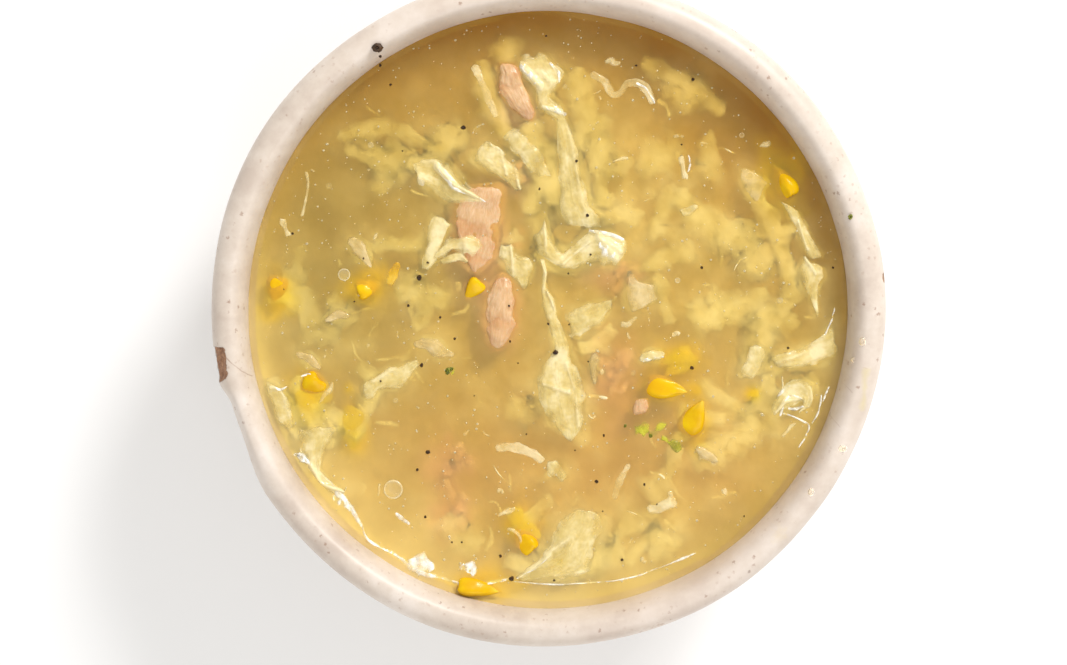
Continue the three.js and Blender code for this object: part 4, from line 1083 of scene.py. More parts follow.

# %% [markdown]
# ## Where the broth changes colour
# Light comes over the far wall, and the light and shade this gives are painted into the broth's colour. A painted
# shade turns it golden brown below the far wall. Painted light makes it glow just inside the wall and pale at the
# near wall. It is also greyer towards the lower left and tan in a patch below the middle. Each of these is worked out
# at every point and kept with the mesh, where the finish reads it. So they stay in place from any side, as a gradient
# tied to the camera would not.

# %% Where painted light and shade fall on the broth
def light_marks(points):
    """At each point, from 0 to 1: painted shade below the far wall, painted light just inside the wall and at the
    near side, how much greyer towards the lower left, and a tan patch.
    """
    r, bearing = np.hypot(points[:, 0], points[:, 1]), np.arctan2(points[:, 1], points[:, 0])
    inward = np.maximum(EDGE - r, 0)
    far = smooth(-0.15, 0.75, np.sin(bearing + 0.12))
    near_side = smooth(0.1, 0.9, -np.sin(bearing + 0.5))
    wavy = 1 + 0.3 * rough(flat(points[:, 0], points[:, 1]), 14, 55, 2)
    return {"painted_wall_shade": np.clip(far * np.exp(-inward / 13) * wavy, 0, 1),
            "glow": np.exp(-inward / 2.4) * (1 - 0.85 * far) * np.clip(0.8 + 0.5 * wavy, 0, 1),
            "pale": np.clip(near_side * np.exp(-inward / 12) * wavy, 0, 1),
            "dusk": smooth(-15, -62, points[:, 0]) * smooth(-50, 0, points[:, 1]) * (1 - 0.6 * np.exp(-inward / 6)),
            "tan": np.clip(np.exp(-(((points[:, 0] - 10) / 45) ** 2) - ((points[:, 1] + 34) / 20) ** 2) * wavy, 0, 1)}


# %% [markdown]
# ## Clouds below the surface
# Most of the cabbage and the egg hang so deep that only soft pale clouds show, and meat and kernels that deep are
# pink and golden smudges. Modelling each shred would not show; a cloud is an oval with a ragged edge, and the same
# list later says where the rags that do show are hung.

# %% Clouds of cabbage and egg
CLOUDS = [
    # x, y, half width, half depth in mm, heading in degrees, strength
    (12, 50, 11, 11, 70, 0.9), (32, 56, 10, 5, 200, 0.8), (29, 31, 10, 6, 30, 0.9), (36, 18, 19, 8, 160, 1.0),
    (41, 1, 11, 7, 20, 0.9), (52, -24, 17, 11, 35, 1.1), (-29, 4, 12, 5, 10, 1.0), (-56, -30, 8, 10, 300, 0.9),
    (-2, 17, 6, 7, 90, 0.7), (0, -42, 8, 5, 20, 0.6), (12, -61, 21, 7, 10, 0.9), (27, -48, 15, 8, 30, 0.8),
    (-15, -22, 9, 6, 0, 0.4), (-35, 30, 14, 10, 40, 0.4), (-45, -5, 12, 8, 120, 0.4), (52, 8, 11, 13, 100, 0.5),
    (14, 28, 12, 12, 80, 0.8), (-2, 36, 8, 12, 120, 0.8), (-30, -52, 12, 8, 330, 0.4), (-62, 10, 5, 16, 80, 0.5),
    (-22, 42, 12, 8, 20, 0.4), (-47, 44, 10, 8, 320, 0.4), (32, -30, 10, 8, 40, 0.6), (60, -2, 7, 18, 90, 0.1),
    (-24, 24, 12, 12, 40, 0.6), (56, -14, 14, 6, 25, 1.0), (46, 12, 10, 6, 10, 0.6), (-8, 50, 9, 9, 60, 0.7),
    (10, -30, 9, 6, 20, 0.5), (40, -44, 12, 6, 40, 0.3),
]
# meat and kernels: x, y, half width and half depth in mm
PINK = [
    (15.3, -16.3, 6.5, 9), (-24.5, -37, 5, 4.5), (-23.7, -48.4, 4, 6), (16, 8, 6, 4), (-16, 18, 6, 12),
    (-11, 1, 5, 9), (-8, 50, 4, 7), (-8, 33, 4, 4),
]
GOLD = [
    (31.2, -11, 4.5, 4), (-46.6, -28.6, 4, 6), (-57.5, -21.5, 5, 7), (-7.0, -51, 5, 5), (28, -18, 6, 4),
    (35, -25.5, 4, 6), (3.2, -59.9, 1.6, 1.6), (49.4, -19.3, 2, 2), (55, 32, 6, 8), (-64, 5, 4, 5), (-43, 6, 5, 5),
    (-16, -66, 7, 4),
]


def cloud_marks(x, y, near_leaf):
    """How thick cabbage and egg lie below the surface at places in mm, 0 to 1, and how pink or golden it is there."""
    cloud = 0.5 * np.exp(-((near_leaf / 2.6) ** 2))
    for k, (cx, cy, w, h, heading, strength) in enumerate(CLOUDS):
        c, n = math.cos(math.radians(heading)), math.sin(math.radians(heading))
        u, v = (x - cx) * c + (y - cy) * n, (y - cy) * c - (x - cx) * n
        lumps = noise(flat(u / 1.5, v, k * 5.0), 5.0, 40 + k)
        fibres = noise(flat(u / 3.2, v, k * 5.0), 1.5, 70 + k)
        body = np.exp(-(((x - cx) / w) ** 2) - ((y - cy) / h) ** 2)
        cloud = np.maximum(cloud, strength * np.clip(body * (0.72 + 0.7 * lumps + 0.2 * fibres), 0, 1))
    cloud = np.clip(cloud + 0.12 * np.maximum(rough(flat(x, y), 4.5, 95, 3), 0), 0, 1)
    ragged = 1 + 0.5 * rough(flat(x, y), 6, 91, 3)

    def patch(places):
        ovals = [(((x - px) / w) ** 2 + ((y - py) / h) ** 2) * ragged for px, py, w, h in places]
        return np.clip(sum(np.exp(-(oval**1.5)) for oval in ovals), 0, 1)

    return {"cloud": cloud, "pink": patch(PINK), "gold": patch(GOLD)}


leaf_tree = from_above(np.concatenate([p for p, _, _ in skirts])[::6])
DEEP_GAP = 9.0    # mm, stands for nowhere near a leaf
leaf_gap = np.concatenate([gaps(leaf_tree, top), np.full(len(skirt), DEEP_GAP)])
marks = {**light_marks(body), **cloud_marks(body[:, 0], body[:, 1], leaf_gap)}
print("clouds:", len(CLOUDS), "pink:", len(PINK), "golden:", len(GOLD))

# %% [markdown]
# ## The finish of the broth
# Cloudy broth is between clear and milky: most light goes through and is tinted on the way, and a part comes straight
# back from starch and fat near the top. Scattering in a volume is the true way and takes many minutes, so a
# share of plain diffuse colour is the milk here, and an absorbing volume is the tint.

# %% The finish of the broth
broth = Finish("broth")
m = broth
where = m.place()
tuft = m.noise(where, 110, 3, 0.65)
veil = m.ramp(tuft, (0.35, rgb(196, 173, 100)), (0.65, rgb(214, 192, 122)))
# Painted shade below the far wall and painted light at the near side are laid into the colour, with a greyer tone to
# the lower left and a tan patch.
for mark, strength, tint in (("painted_wall_shade", 0.9, rgb(186, 138, 0)), ("dusk", 0.6, rgb(172, 158, 92)),
                             ("tan", 0.5, rgb(212, 176, 112)), ("pale", 0.75, rgb(248, 232, 176))):
    veil = m.stain(veil, m.mark(mark), strength, tint)
wad = m.times(m.mark("cloud"), m.range(tuft, 0.34, 0.62, 0.4, 1.0))
# The clouds show less where the painted shade lies.
veil = m.mix(m.times(wad, m.range(m.mark("painted_wall_shade"), 0.0, 0.8, 0.34, 0.16)), veil, rgb(252, 236, 172))
veil = m.stain(veil, m.mark("gold"), m.range(tuft, 0.34, 0.6, 0.35, 0.8), rgb(230, 204, 26))
veil = m.stain(veil, m.mark("pink"), m.range(tuft, 0.34, 0.6, 0.2, 0.45), rgb(234, 194, 146))
m.set(Base_Color=veil, Roughness=0.3, IOR=WATER, Transmission_Weight=0.75)
m.coat(0.4, 0.04, WATER)
m.leak(0.9, rgb(250, 242, 208))
absorb = m.tree.nodes.new("ShaderNodeVolumeAbsorption")
absorb.inputs["Color"].default_value = rgb(240, 213, 146)
absorb.inputs["Density"].default_value = 20
m.tree.links.new(absorb.outputs[0], m.tree.nodes["Material Output"].inputs["Volume"])
piece("broth_body", body, faces, broth.material, "broth", ["broth"], marks)
print("broth:", len(m.tree.nodes), "nodes")

# %% [markdown]
# ## What lies below the surface
# A few millimetres down the broth is too cloudy to see through. A dense volume would do that and would be slow, so
# a lumpy bed stands for that depth. It rises under the clouds and has the same marks as the surface.

# %% The cloudy depth
BED = 5.2         # mm from the surface down to the bed
bed_xy, bed_faces, _, _ = disc(EDGE - 0.35, 0.7)
bed_in = EDGE - np.hypot(bed_xy[:, 0], bed_xy[:, 1])
marks = cloud_marks(bed_xy[:, 0], bed_xy[:, 1], gaps(leaf_tree, bed_xy))
heaped = np.maximum(marks["cloud"], 0.7 * np.maximum(marks["pink"], marks["gold"]))
swell = 0.6 * rough(flat(bed_xy[:, 0], bed_xy[:, 1]), 12, 90, 3) + heaped
bed_z = LEVEL - BED + swell * smooth(0, 6, bed_in) + 4.2 * np.exp(-bed_in / 1.8)
murk = Finish("murk")
m = murk
where = m.place()
tone = m.noise(where, 60, 3, 0.65, 0.6)
colour = m.ramp(tone, (0.3, rgb(194, 169, 98)), (0.5, rgb(209, 186, 114)), (0.7, rgb(225, 204, 134)))
# Painted shade below the far wall and painted light just inside the wall and at the near side, with a greyer tone to
# the lower left and a tan patch.
for mark, strength, tint in (("painted_wall_shade", 0.95, rgb(180, 130, 0)), ("dusk", 0.6, rgb(172, 156, 92)),
                             ("tan", 0.6, rgb(212, 176, 108)), ("pale", 0.6, rgb(246, 232, 170)),
                             ("glow", 0.85, rgb(240, 234, 170))):
    colour = m.stain(colour, m.mark(mark), strength, tint)
tuft = m.noise(where, 200, 3, 0.65)
fluff = m.times(m.mark("cloud"), m.range(tuft, 0.3, 0.6, 0.45, 0.8))
# The clouds are dimmer where the painted shade lies.
fluff = m.times(fluff, m.range(m.mark("painted_wall_shade"), 0.0, 0.8, 1.0, 0.45))
colour = m.mix(fluff, colour, m.ramp(tuft, (0.35, rgb(254, 240, 170)), (0.6, rgb(255, 250, 214))))
colour = m.stain(colour, m.mark("pink"), m.range(tuft, 0.3, 0.6, 0.2, 0.6), rgb(232, 182, 136))
colour = m.stain(colour, m.mark("gold"), m.range(tuft, 0.3, 0.6, 0.35, 0.85), rgb(255, 222, 20))
m.set(Base_Color=colour, Roughness=0.6, Normal=m.bump(tuft, 0.2, 0.001))
bed_points = flat(bed_xy[:, 0], bed_xy[:, 1], bed_z)
piece("cloudy_depth", bed_points, bed_faces, murk.material, "broth", (), {**light_marks(bed_points), **marks})
print("bed:", len(bed_points), "points, highest", round(float(LEVEL - bed_z.max()), 1), "mm under the surface")

# %% [markdown]
# ## Rags of cabbage under the surface
# Over the bed hang soft rags, broad leaves and thin wisps, each a real sheet. They take on the broth's colour the
# deeper they lie, and their edges melt away. A limp strip wanders from where it starts; one that would reach the
# wall is left out.

# %% Rags under the surface
def drowned(name, dark, light, fade_to=5.0, solid=0.9, soft=True):
    """The finish of something under the surface: it takes on the colour of the broth with depth."""
    m = Finish(name)
    where = m.place()
    fade = m.range(m.up(where), (LEVEL - 0.6) * MM, (LEVEL - fade_to) * MM, 0.1, 0.9)
    tuft = m.noise(where, 180, 3, 0.6)
    colour = m.ramp(tuft, (0.35, dark), (0.65, light))
    alpha = solid
    if soft:
        inside = m.range(m.mark("edge"), 0.97, 0.3)
        patch = m.range(tuft, 0.36, 0.58, 0.35, 1.0)
        alpha = m.times(m.times(inside, patch), solid)
    m.set(Base_Color=m.mix(fade, colour, MURK), Roughness=m.range(tuft, 0.3, 0.7, 0.4, 0.6), Alpha=alpha)
    return m.leak(0.85)


random = np.random.default_rng(5)


def rag(x, y, heading, size, depth, steps=5, stride=2.6, **how):
    """A limp strip below the surface, wandering off from a place. None if it would reach the wall."""
    line, heading = [], math.radians(heading)
    for step in range(steps):
        line.append([x, y, size * random.uniform(0.5, 1.2)])
        heading += random.normal(0, 0.4)
        x += math.cos(heading) * stride * random.uniform(0.7, 1.3)
        y += math.sin(heading) * stride * random.uniform(0.7, 1.3)
    if max(math.hypot(px, py) for px, py, _ in line) > FREE:
        return None
    how = {"ripple": 0.15, "jag": 0.6, "fine": 0.8, "thick": 0.2, "crease": 0.3, **how}
    return leaf(line, rise=-depth, seed=int(random.integers(1000)), **how)


def heap(name, sheets, finish, slot):
    """Many sheets as one piece, with their marks kept."""
    sheets = [sheet for sheet in sheets if sheet is not None]
    p, f = join([(points, faces.tolist()) for points, faces, _ in sheets])
    marks = {key: np.concatenate([sheet[2][key] for sheet in sheets]) for key in sheets[0][2]}
    print(name, len(sheets), "sheets,", len(f), "faces")
    piece(name, p, f, finish, slot, (), marks)


# %% Cabbage and wisps
sheets = []
for cx, cy, w, h, heading, strength in CLOUDS:
    for k in range(int(round(w * h * strength / 60)) + 1):
        x, y = cx + w * random.normal(0, 0.4), cy + h * random.normal(0, 0.4)
        turned = heading + 40 * random.normal() + 180 * random.integers(2)
        size, depth, stride = random.uniform(5, 11), random.uniform(0.8, 1.8), random.uniform(2.4, 4.4)
        sheets.append(rag(x, y, turned, size, depth, stride=stride, crease=0.15, ripple=0.1))
heap("sunk_cabbage", sheets, drowned("sunk_cabbage", rgb(250, 240, 180), rgb(255, 250, 222), solid=0.75), "cabbage")
BROAD = [
    # height over the surface, then x, y and width along the leaf, all in mm
    (-0.6, [[-16.5, 60.5, 4], [-14.5, 54, 7], [-12, 47, 7], [-9.5, 41, 4]]),
    (-0.7, [[6, 58.5, 6], [9, 50, 9], [11, 42, 9], [12.5, 33, 7], [14, 25, 4]]),
    (-0.65, [[-5, 46, 5], [-2, 39, 8], [0.5, 32, 8], [1.5, 25, 4]]),
    (-0.75, [[35, -37.5, 6], [44, -31.5, 10], [52, -25.5, 10], [60, -19, 8], [65, -15, 5]]),
    (-0.7, [[-60.5, -15, 4], [-58, -21, 8], [-55.5, -27, 8], [-52, -33, 5]]),
    (-0.55, [[-34, 36.5, 3], [-29.5, 35, 6], [-25, 33.5, 6], [-20, 30, 4]]),
    (-0.85, [[-11, -60, 5], [0, -62, 7], [10, -60, 10], [19, -57, 6]]),
    (-0.75, [[30, 29, 5], [36, 24, 9], [43, 19, 9], [50, 16, 5]]),
    (-0.85, [[33, 1, 6], [40, -1, 11], [47, 2, 8], [53, 6, 5]]),
    (-0.65, [[-3, 16, 5], [1, 12, 9], [6, 13, 9], [12, 15, 6]]),
    (-0.85, [[-37, 5.5, 4], [-30, 4, 9], [-23, 3, 6]]),
    (-0.65, [[22, 60, 3], [29, 57, 7], [36, 53, 6], [42, 47, 3]]),
    (-0.65, [[-66.5, -15, 4], [-65, -20, 6], [-62.5, -25, 7], [-59, -30, 5]]),
    (-0.75, [[-46, -12, 3], [-42, -17, 6], [-44, -24, 6], [-47, -31, 3]]),
    (-0.85, [[-50, 42, 3], [-42, 44, 5], [-34, 43, 5], [-27, 39, 3]]),
    (-0.75, [[16, -3, 4], [12, -7, 6], [7, -9, 4]]),
    (-0.8, [[48, 31, 5], [53, 22, 7], [57, 12, 6], [58, 3, 4]]),
]
limp = dict(jag=0.55, fine=0.8, crease=0.2, ripple=0.15, thick=0.25)
broad = [leaf(spine=line, rise=rise, seed=150 + k, **limp) for k, (rise, line) in enumerate(BROAD)]
sunk_leaf = drowned("sunk_leaves", rgb(250, 240, 182), rgb(255, 250, 224), solid=0.88)
heap("sunk_leaves", skirts + broad, sunk_leaf, "cabbage")



def anywhere(radius):
    """A random place within a radius of the middle."""
    r, a = radius * math.sqrt(random.uniform(0, 1)), random.uniform(0, 2 * math.pi)
    return r * math.cos(a), r * math.sin(a)


wisps = []
for k in range(80):
    x, y = anywhere(66)
    heading, size, depth = random.uniform(0, 360), random.uniform(0.5, 1.8), random.uniform(0.15, 1.2)
    wisps.append(rag(x, y, heading, size, depth, steps=4, stride=random.uniform(0.8, 2.2), fine=0.5, thick=0.25))
heap("sunk_wisps", wisps, drowned("sunk_wisps", rgb(244, 226, 158), rgb(252, 242, 200), solid=0.75), "cabbage")

# %% [markdown]
# ## Sunk meat, kernels and greens
# Some meat and some kernels hang just under the surface too, as soft patches of pink and of orange yellow, with a
# slice of green onion near the kernels. They are made by the same functions as the floating ones.

# %% Sunk meat, kernels and greens
SUNK_MEAT = [
    # x, y, half width, half depth, number of rags, heading, depth
    (15.3, -16.3, 4.5, 7, 9, 80, 0.9), (-24.5, -37, 4, 3.5, 6, 20, 0.9), (-23.7, -48.4, 3, 4, 4, 70, 1.2),
    (18, 8, 6, 4, 4, 10, 1.4), (-8, 33, 3, 4, 4, 60, 1.2),
]
meat = list(meat_skirts)
for cx, cy, w, h, count, heading, depth in SUNK_MEAT:
    for k in range(count):
        x, y = cx + w * random.normal(0, 0.45), cy + h * random.normal(0, 0.45)
        turned, size = heading + 25 * random.normal(), random.uniform(2.5, 5)
        meat.append(rag(x, y, turned, size, depth * random.uniform(0.6, 1.3), steps=4, stride=1.8))
heap("sunk_chicken", meat, drowned("sunk_chicken", rgb(236, 192, 150), rgb(244, 212, 174), solid=0.75), "chicken")

SUNK_KERNELS = [
    # x, y, length, heading, depth
    (31.8, -12, 9.5, 40, 2.1), (-46.6, -28.6, 9, 80, 2.2), (-7.4, -50, 7, 110, 2.0), (49.4, -19.3, 3, 10, 0.8),
    (3.2, -59.9, 2, 0, 1.2), (-57.9, -22.4, 11, 80, 0.6), (-56.0, -19.6, 9, 20, 0.4), (-47.2, -26.5, 9, 70, 0.8),
    (31.0, -10.6, 7, 20, 1.2), (-5.2, -52.4, 8, 300, 0.9),
]
kernels = []
for x, y, size, heading, depth in SUNK_KERNELS:
    shape = [size, size * 0.75, size * 0.35]
    sunk_by = shape[2] / 2 + 0.3 * depth      # so that the top is 0.3 of the depth under the surface
    kernels.append(kernel([x, y], shape, heading, rise=-sunk_by, seed=int(random.integers(1000))))
p, f = join([(points, faces) for points, faces, _ in kernels])
piece("sunk_kernels", p, f, drowned("sunk_kernels", rgb(238, 210, 10), rgb(246, 228, 50), 9, soft=False), "sweetcorn")

SUNK_ONION = [
    # x, y, heading, width, depth, step
    (20.4, -28.1, 350, 4.0, -0.1, 1.3), (21.0, -26.9, 340, 3.2, 0.1, 1.3), (24.0, -29.0, 350, 2.4, 0.2, 2.0),
    (26.8, -29.8, 350, 1.5, -0.1, 1.2), (-22.9, -14.4, 30, 1.3, 0.0, 0.5),
]
green = [rag(*row[:5], steps=4, stride=row[5], fine=0.5) for row in SUNK_ONION]
heap("sunk_onion", green, drowned("sunk_onion", rgb(168, 176, 10), rgb(204, 200, 30), solid=0.75), "green_onion")

# %% [markdown]
# ## Pepper and herbs
# Ground pepper floats as dark angular grains, with one large grain and a small one on the rim, and there are a few
# flecks of green. A particle system would scatter copies; here every grain is a small ball with its own knocks, set
# on whatever is highest at its place.

# %% Grains
everything = np.concatenate([top] + floating)
skyline = from_above(everything)


def height_at(x, y, reach=0.6):
    """The highest point of broth or food close to a place, in mm."""
    found = skyline.find_range((x, y, 0), reach)
    return max(everything[i][2] for _, i, _ in found) if found else LEVEL


def grain(x, y, z, size, rings=5, around=8, rugged=0.3, flatness=0.6):
    """A small angular lump."""
    t = np.linspace(0, math.pi, rings + 2)[1:-1][:, None]
    a = np.linspace(0, 2 * math.pi, around, endpoint=False)[None, :]
    p = flat(np.sin(t) * np.cos(a), np.sin(t) * np.sin(a), np.cos(t) + 0 * a)
    p = np.concatenate([p, [[0, 0, 1], [0, 0, -1]]])
    p *= (1 + rugged * random.uniform(-1, 1, len(p)))[:, None] * size / 2
    p[:, 2] *= flatness
    p[:, 0] *= random.uniform(0.75, 1.25)
    n = rings * around
    faces = grid_faces(rings, around, closed=True).tolist()
    faces += [[n, j, (j + 1) % around] for j in range(around)]
    faces += [[n + 1, n - around + (j + 1) % around, n - around + j] for j in range(around)]
    return p + [x, y, z], faces


def gritty(name, scale, dark, light, shine, rugged):
    """A finish of fine dark and light bits."""
    m = Finish(name)
    bits = m.noise(m.place(), scale, 3, 0.7)
    return m.set(Base_Color=m.ramp(bits, (0.35, dark), (0.6, light)), Roughness=m.range(bits, 0.3, 0.7, *shine),
                 Normal=m.bump(bits, rugged, 0.0002))


# %% Pepper and herbs
PEPPER = [
    # x, y and size in mm
    (-20.0, 44.3, 1.3), (-30.7, 8.7, 1.7), (1.8, -9.2, 1.5), (9.4, 23.5, 1.0), (-2.0, 29.8, 0.8), (6.8, 36.4, 0.9),
    (-9.2, 2.0, 0.7), (-22.3, -5.9, 0.9), (-25.7, -0.8, 0.8), (-9.0, -6.6, 0.7), (0.1, -2.3, 0.8), (5.1, -2.5, 0.5),
    (10.2, 14.2, 0.7), (4.9, 9.7, 0.6), (-28.6, 12.3, 0.7), (-37.2, 54.4, 0.8), (34.5, -13.0, 1.1),
    (13.5, -29.3, 0.9), (11.8, -40.5, 1.1), (23.3, -41.2, 0.9), (-28.8, -33.3, 1.2), (-31.4, -37.6, 0.9),
    (-29.5, -49.1, 0.9), (-8.7, -64.2, 1.6), (1.6, -64.6, 0.8), (-11.4, -58.7, 1.0), (18.0, -59.6, 0.8),
    (36.7, 11.1, 0.9), (-33.3, 2.0, 0.9), (-23.1, -55.3, 0.6), (-20.7, -55.3, 0.6), (-39.6, 58.9, 1.0),
    (34.3, 55.6, 1.0), (31.7, 40.3, 0.6), (-59.9, -34.1, 0.6), (-40.0, -16.1, 0.6), (-30.2, -12.3, 1.2),
    (-60.8, 19.2, 0.7), (-43.9, 13.3, 0.6), (-0.4, 65.8, 0.6), (20.9, 58.9, 0.6), (-63.0, 5.9, 0.5),
    (13.3, -47.7, 0.5), (-7.1, -11.8, 0.5), (26.4, -46.0, 0.5), (47.4, -48.9, 0.6), (57.5, -8.2, 0.8),
    (68.0, 11.1, 0.7), (69.0, -20.9, 0.8), (-34.5, 38.8, 0.5), (-46.2, 3.0, 0.5), (9.7, -11.4, 0.6),
    (-17.6, -19.7, 0.4), (6.6, -32.9, 0.5), (-5.1, -29.0, 0.5),
]
pepper = [grain(x, y, height_at(x, y) + 0.1 * size, 0.78 * size) for x, y, size in PEPPER]
pepper += [grain(-39.6, 62.6, 64.3, 2.1, 9, 14, 0.16, 0.8), grain(-39.0, 60.6, 64.0, 0.7)]      # on the rim
pepper_finish = gritty("pepper", 2500, rgb(34, 20, 10), rgb(84, 56, 26), (0.35, 0.6), 0.6)
piece("pepper", *join(pepper), pepper_finish, "broth")

HERBS = [
    # x, y, height and size in mm
    (-23.9, -13.7, LEVEL, 1.6), (-23.0, -13.2, LEVEL, 1.0), (70.7, 23.4, 64.1, 1.2), (18.6, -27.0, LEVEL, 0.9),
    (24.8, -29.4, LEVEL + 0.1, 1.0),
]
herbs = [grain(*row, flatness=0.4) for row in HERBS]
herb_finish = gritty("herb_flecks", 1800, rgb(92, 98, 16), rgb(138, 140, 40), (0.3, 0.5), 0.5)
piece("herb_flecks", *join(herbs), herb_finish, "green_onion")
print("grains of pepper:", len(pepper), "herbs:", len(herbs))

# %% [markdown]
# ## Bubbles and drops of fat
# The broth carries hundreds of tiny bubbles and drops of fat, and a few larger bubbles, each a thin dome with a
# thicker ring where it meets the broth. They matter because each catches a lamp as a bright point.

# %% Bubbles and drops of fat
def watery(name, dark, light, scales, shine, **values):
    """A clear wet finish, a little uneven in tone and in gloss."""
    m = Finish(name)
    tone = m.ramp(m.noise(m.place(), scales[0], 2), (0.35, dark), (0.65, light))
    m.set(Base_Color=tone, Roughness=m.range(m.noise(m.place(), scales[1], 2), 0.3, 0.7, *shine), **values)
    return m


bubble_finish = watery("bubbles", rgb(246, 228, 168), rgb(252, 242, 206), (900, 1500), (0.1, 0.2),
                       IOR=WATER, Transmission_Weight=0.2)
bubble_finish.coat(1.0, 0.03)
domes = []
for k in range(1100):
    x, y = anywhere(70.5)
    size = 0.26 + 0.55 * random.power(0.5) * random.uniform(0, 1)
    under = height_at(x, y, 0.5)
    if under < LEVEL + 0.2:
        domes.append(grain(x, y, under - 0.05 * size, size, 4, 8, 0.04, 0.7))
piece("small_bubbles", *join(domes), bubble_finish.material, "broth")
print("small bubbles:", len(domes))


# %% Large bubbles
def ring_bubble(x, y, across):
    """A thin film standing up as a dome, with a thicker ring where it meets the broth."""
    around, rings = 40, 12
    t = np.linspace(0, 1, rings)[:, None]
    a = np.linspace(0, 2 * math.pi, around, endpoint=False)[None, :]
    r = across / 2 * (1 - t) + 0 * a
    dome = across * 0.16 * np.sqrt(np.clip(1 - (1 - t) ** 2, 0, 1))
    z = LEVEL - 0.15 + dome + 0.16 * np.exp(-((t - 0.06) / 0.07) ** 2) + 0 * a
    p = flat(x + r * np.cos(a), y + r * np.sin(a), z)[:-around]
    n = len(p)
    p = np.concatenate([p, [[x, y, LEVEL - 0.15 + across * 0.16]], [[x, y, LEVEL - 0.5]]])
    faces = grid_faces(rings - 1, around, closed=True).tolist()
    faces += [[n, n - around + j, n - around + (j + 1) % around] for j in range(around)]
    faces += [[n + 1, (j + 1) % around, j] for j in range(around)]
    ring = np.append(np.repeat(np.exp(-((t[:-1, 0] - 0.06) / 0.12) ** 2), around), [0, 0])
    return p, faces, ring


film_finish = watery("bubble_film", rgb(248, 232, 180), rgb(252, 244, 214), (700, 900), (0.04, 0.1), IOR=1.2)
m = film_finish
thin_film = m.range(m.noise(m.place(), 800, 2), 0.35, 0.65, 0.06, 0.14)
m.set(Alpha=m.plus(thin_film, m.times(m.mark("ring"), 0.5)))
m.coat(1.0, 0.03)
BUBBLES = [
    # x, y and width in mm
    (-48.6, 9.4, 3.0), (-37.2, -42.4, 4.8), (-52.0, 30.5, 1.4), (31.0, 8.0, 1.3), (-16.5, 44.0, 1.2),
    (55.5, 3.2, 1.4), (40.2, -36.0, 1.5), (-36.5, -20.8, 1.2), (4.0, 54.0, 1.0), (46.0, 42.5, 1.2),
    (-42.0, 40.2, 1.3), (20.5, -14.2, 1.1),
]
rings = [ring_bubble(*row) for row in BUBBLES]
p, f = join([ring[:2] for ring in rings])
piece("ring_bubbles", p, f, film_finish.leak(0.9), "broth", (), {"ring": np.concatenate([ring[2] for ring in rings])})
print("large bubbles:", len(rings))

# %% [markdown]
# ## Drops of broth on the rim
# A few drops were spilled on the right of the rim. A drop on glaze is a flat dome and clear, so a smooth low grain
# of the same kind as the pepper serves, with a finish that bends light as water does.

# %% Drops of broth on the rim
DROPS = [
    # x, y, height and width in mm
    (74.2, -6.0, 63.7, 2.2), (72.4, -10.5, 62.4, 1.6), (69.8, -31.4, 63.9, 1.8), (62.5, -41.8, 63.9, 2.0),
    (71.7, 13.5, 58.6, 1.0),
]
drop_finish = watery("rim_drops", rgb(244, 232, 206), rgb(252, 246, 232), (600, 800), (0.04, 0.1),
                     IOR=WATER, Transmission_Weight=0.85)
drop_finish.coat(0.6, 0.03)
piece("rim_drops", *join([grain(*row, 12, 24, 0.03, 0.5) for row in DROPS]), drop_finish.leak(0.8), "broth")
print("drops:", len(DROPS))

# %% [markdown]
# ## Crumbs
# Small torn bits of leaf and egg float all over. The ones that can be made out are placed one by one and the rest
# are scattered, with the same limp strip as before. A thin flap lies across the large shred of chicken.

# %% Crumbs on the surface
crumb_finish = wet_leaf("crumbs", rgb(234, 210, 142), rgb(242, 224, 166), rgb(250, 238, 194), 0.4)
CRUMBS = [
    # x, y, heading, width, length
    (33.0, 32.5, 80, 1.8, 6), (15, 36, 20, 1.0, 4), (50.7, 40, 10, 1.4, 2.5), (42.5, -55, 30, 1.4, 6.5),
    (42.4, -43.7, 60, 1.6, 2), (-12, -42.3, 10, 1.2, 1.5), (-7.7, -46.8, 200, 1.4, 5), (-10.0, -52, 300, 1.3, 6),
    (-54.5, -21, 80, 1.2, 6), (-65, -7, 80, 1.6, 4.5), (17.4, -2.4, 15, 1.3, 4.5), (29.3, -4.8, 15, 1.3, 2.5),
    (-63.4, 22.5, 350, 2.6, 4), (66.5, -2, 70, 1.0, 6.5), (11.5, -24.5, 280, 1.0, 3), (-52, 47.5, 350, 1.6, 14),
    (38, 51, 340, 1.6, 15), (-57.5, 34, 280, 1.2, 9), (13.5, 59.5, 60, 1.6, 3.5), (24, -47, 20, 2.4, 7),
    (29.5, -46.5, 100, 1.4, 4), (56.6, -19.6, 80, 0.9, 4), (59.5, -26.5, 200, 1.0, 5), (66.5, -18.5, 250, 1.0, 9),
    (-41, -44, 60, 1.0, 3),
]
crumbs = []
for x, y, heading, width, length in CRUMBS:
    crumbs.append(rag(x, y, heading, width, -0.15, steps=4, stride=length / 3, fine=0.35, thick=0.25,
                      ripple=0.12, crease=0.2, dip=0.35, clear=0.5))
for k in range(34):
    x, y = anywhere(67)
    heading, size, depth = random.uniform(0, 360), random.uniform(0.5, 1.3), random.uniform(-0.12, 0.1)
    crumbs.append(rag(x, y, heading, size, depth, steps=3, stride=random.uniform(0.4, 1.2), fine=0.35, thick=0.25,
                      ripple=0.1, crease=0.15, dip=0.3, clear=0.4))
heap("crumbs", crumbs, crumb_finish, "cabbage")
flap = leaf(spine=[[-27, 13.6, 1.4], [-23.6, 16.0, 3.0], [-20, 16.9, 3.8], [-16, 15.6, 2.4]],
            rise=1.0, ripple=0.25, waves=2, jag=0.6, seed=131, dip=0.5, fine=0.3)
tag = leaf(spine=[[-25.5, 12.4, 1.2], [-22, 13.6, 2.2], [-19.4, 12.6, 1.2]], rise=0.6, jag=0.5, seed=133, fine=0.3)
heap("flap_on_chicken", [flap, tag], cabbage_finish, "cabbage")
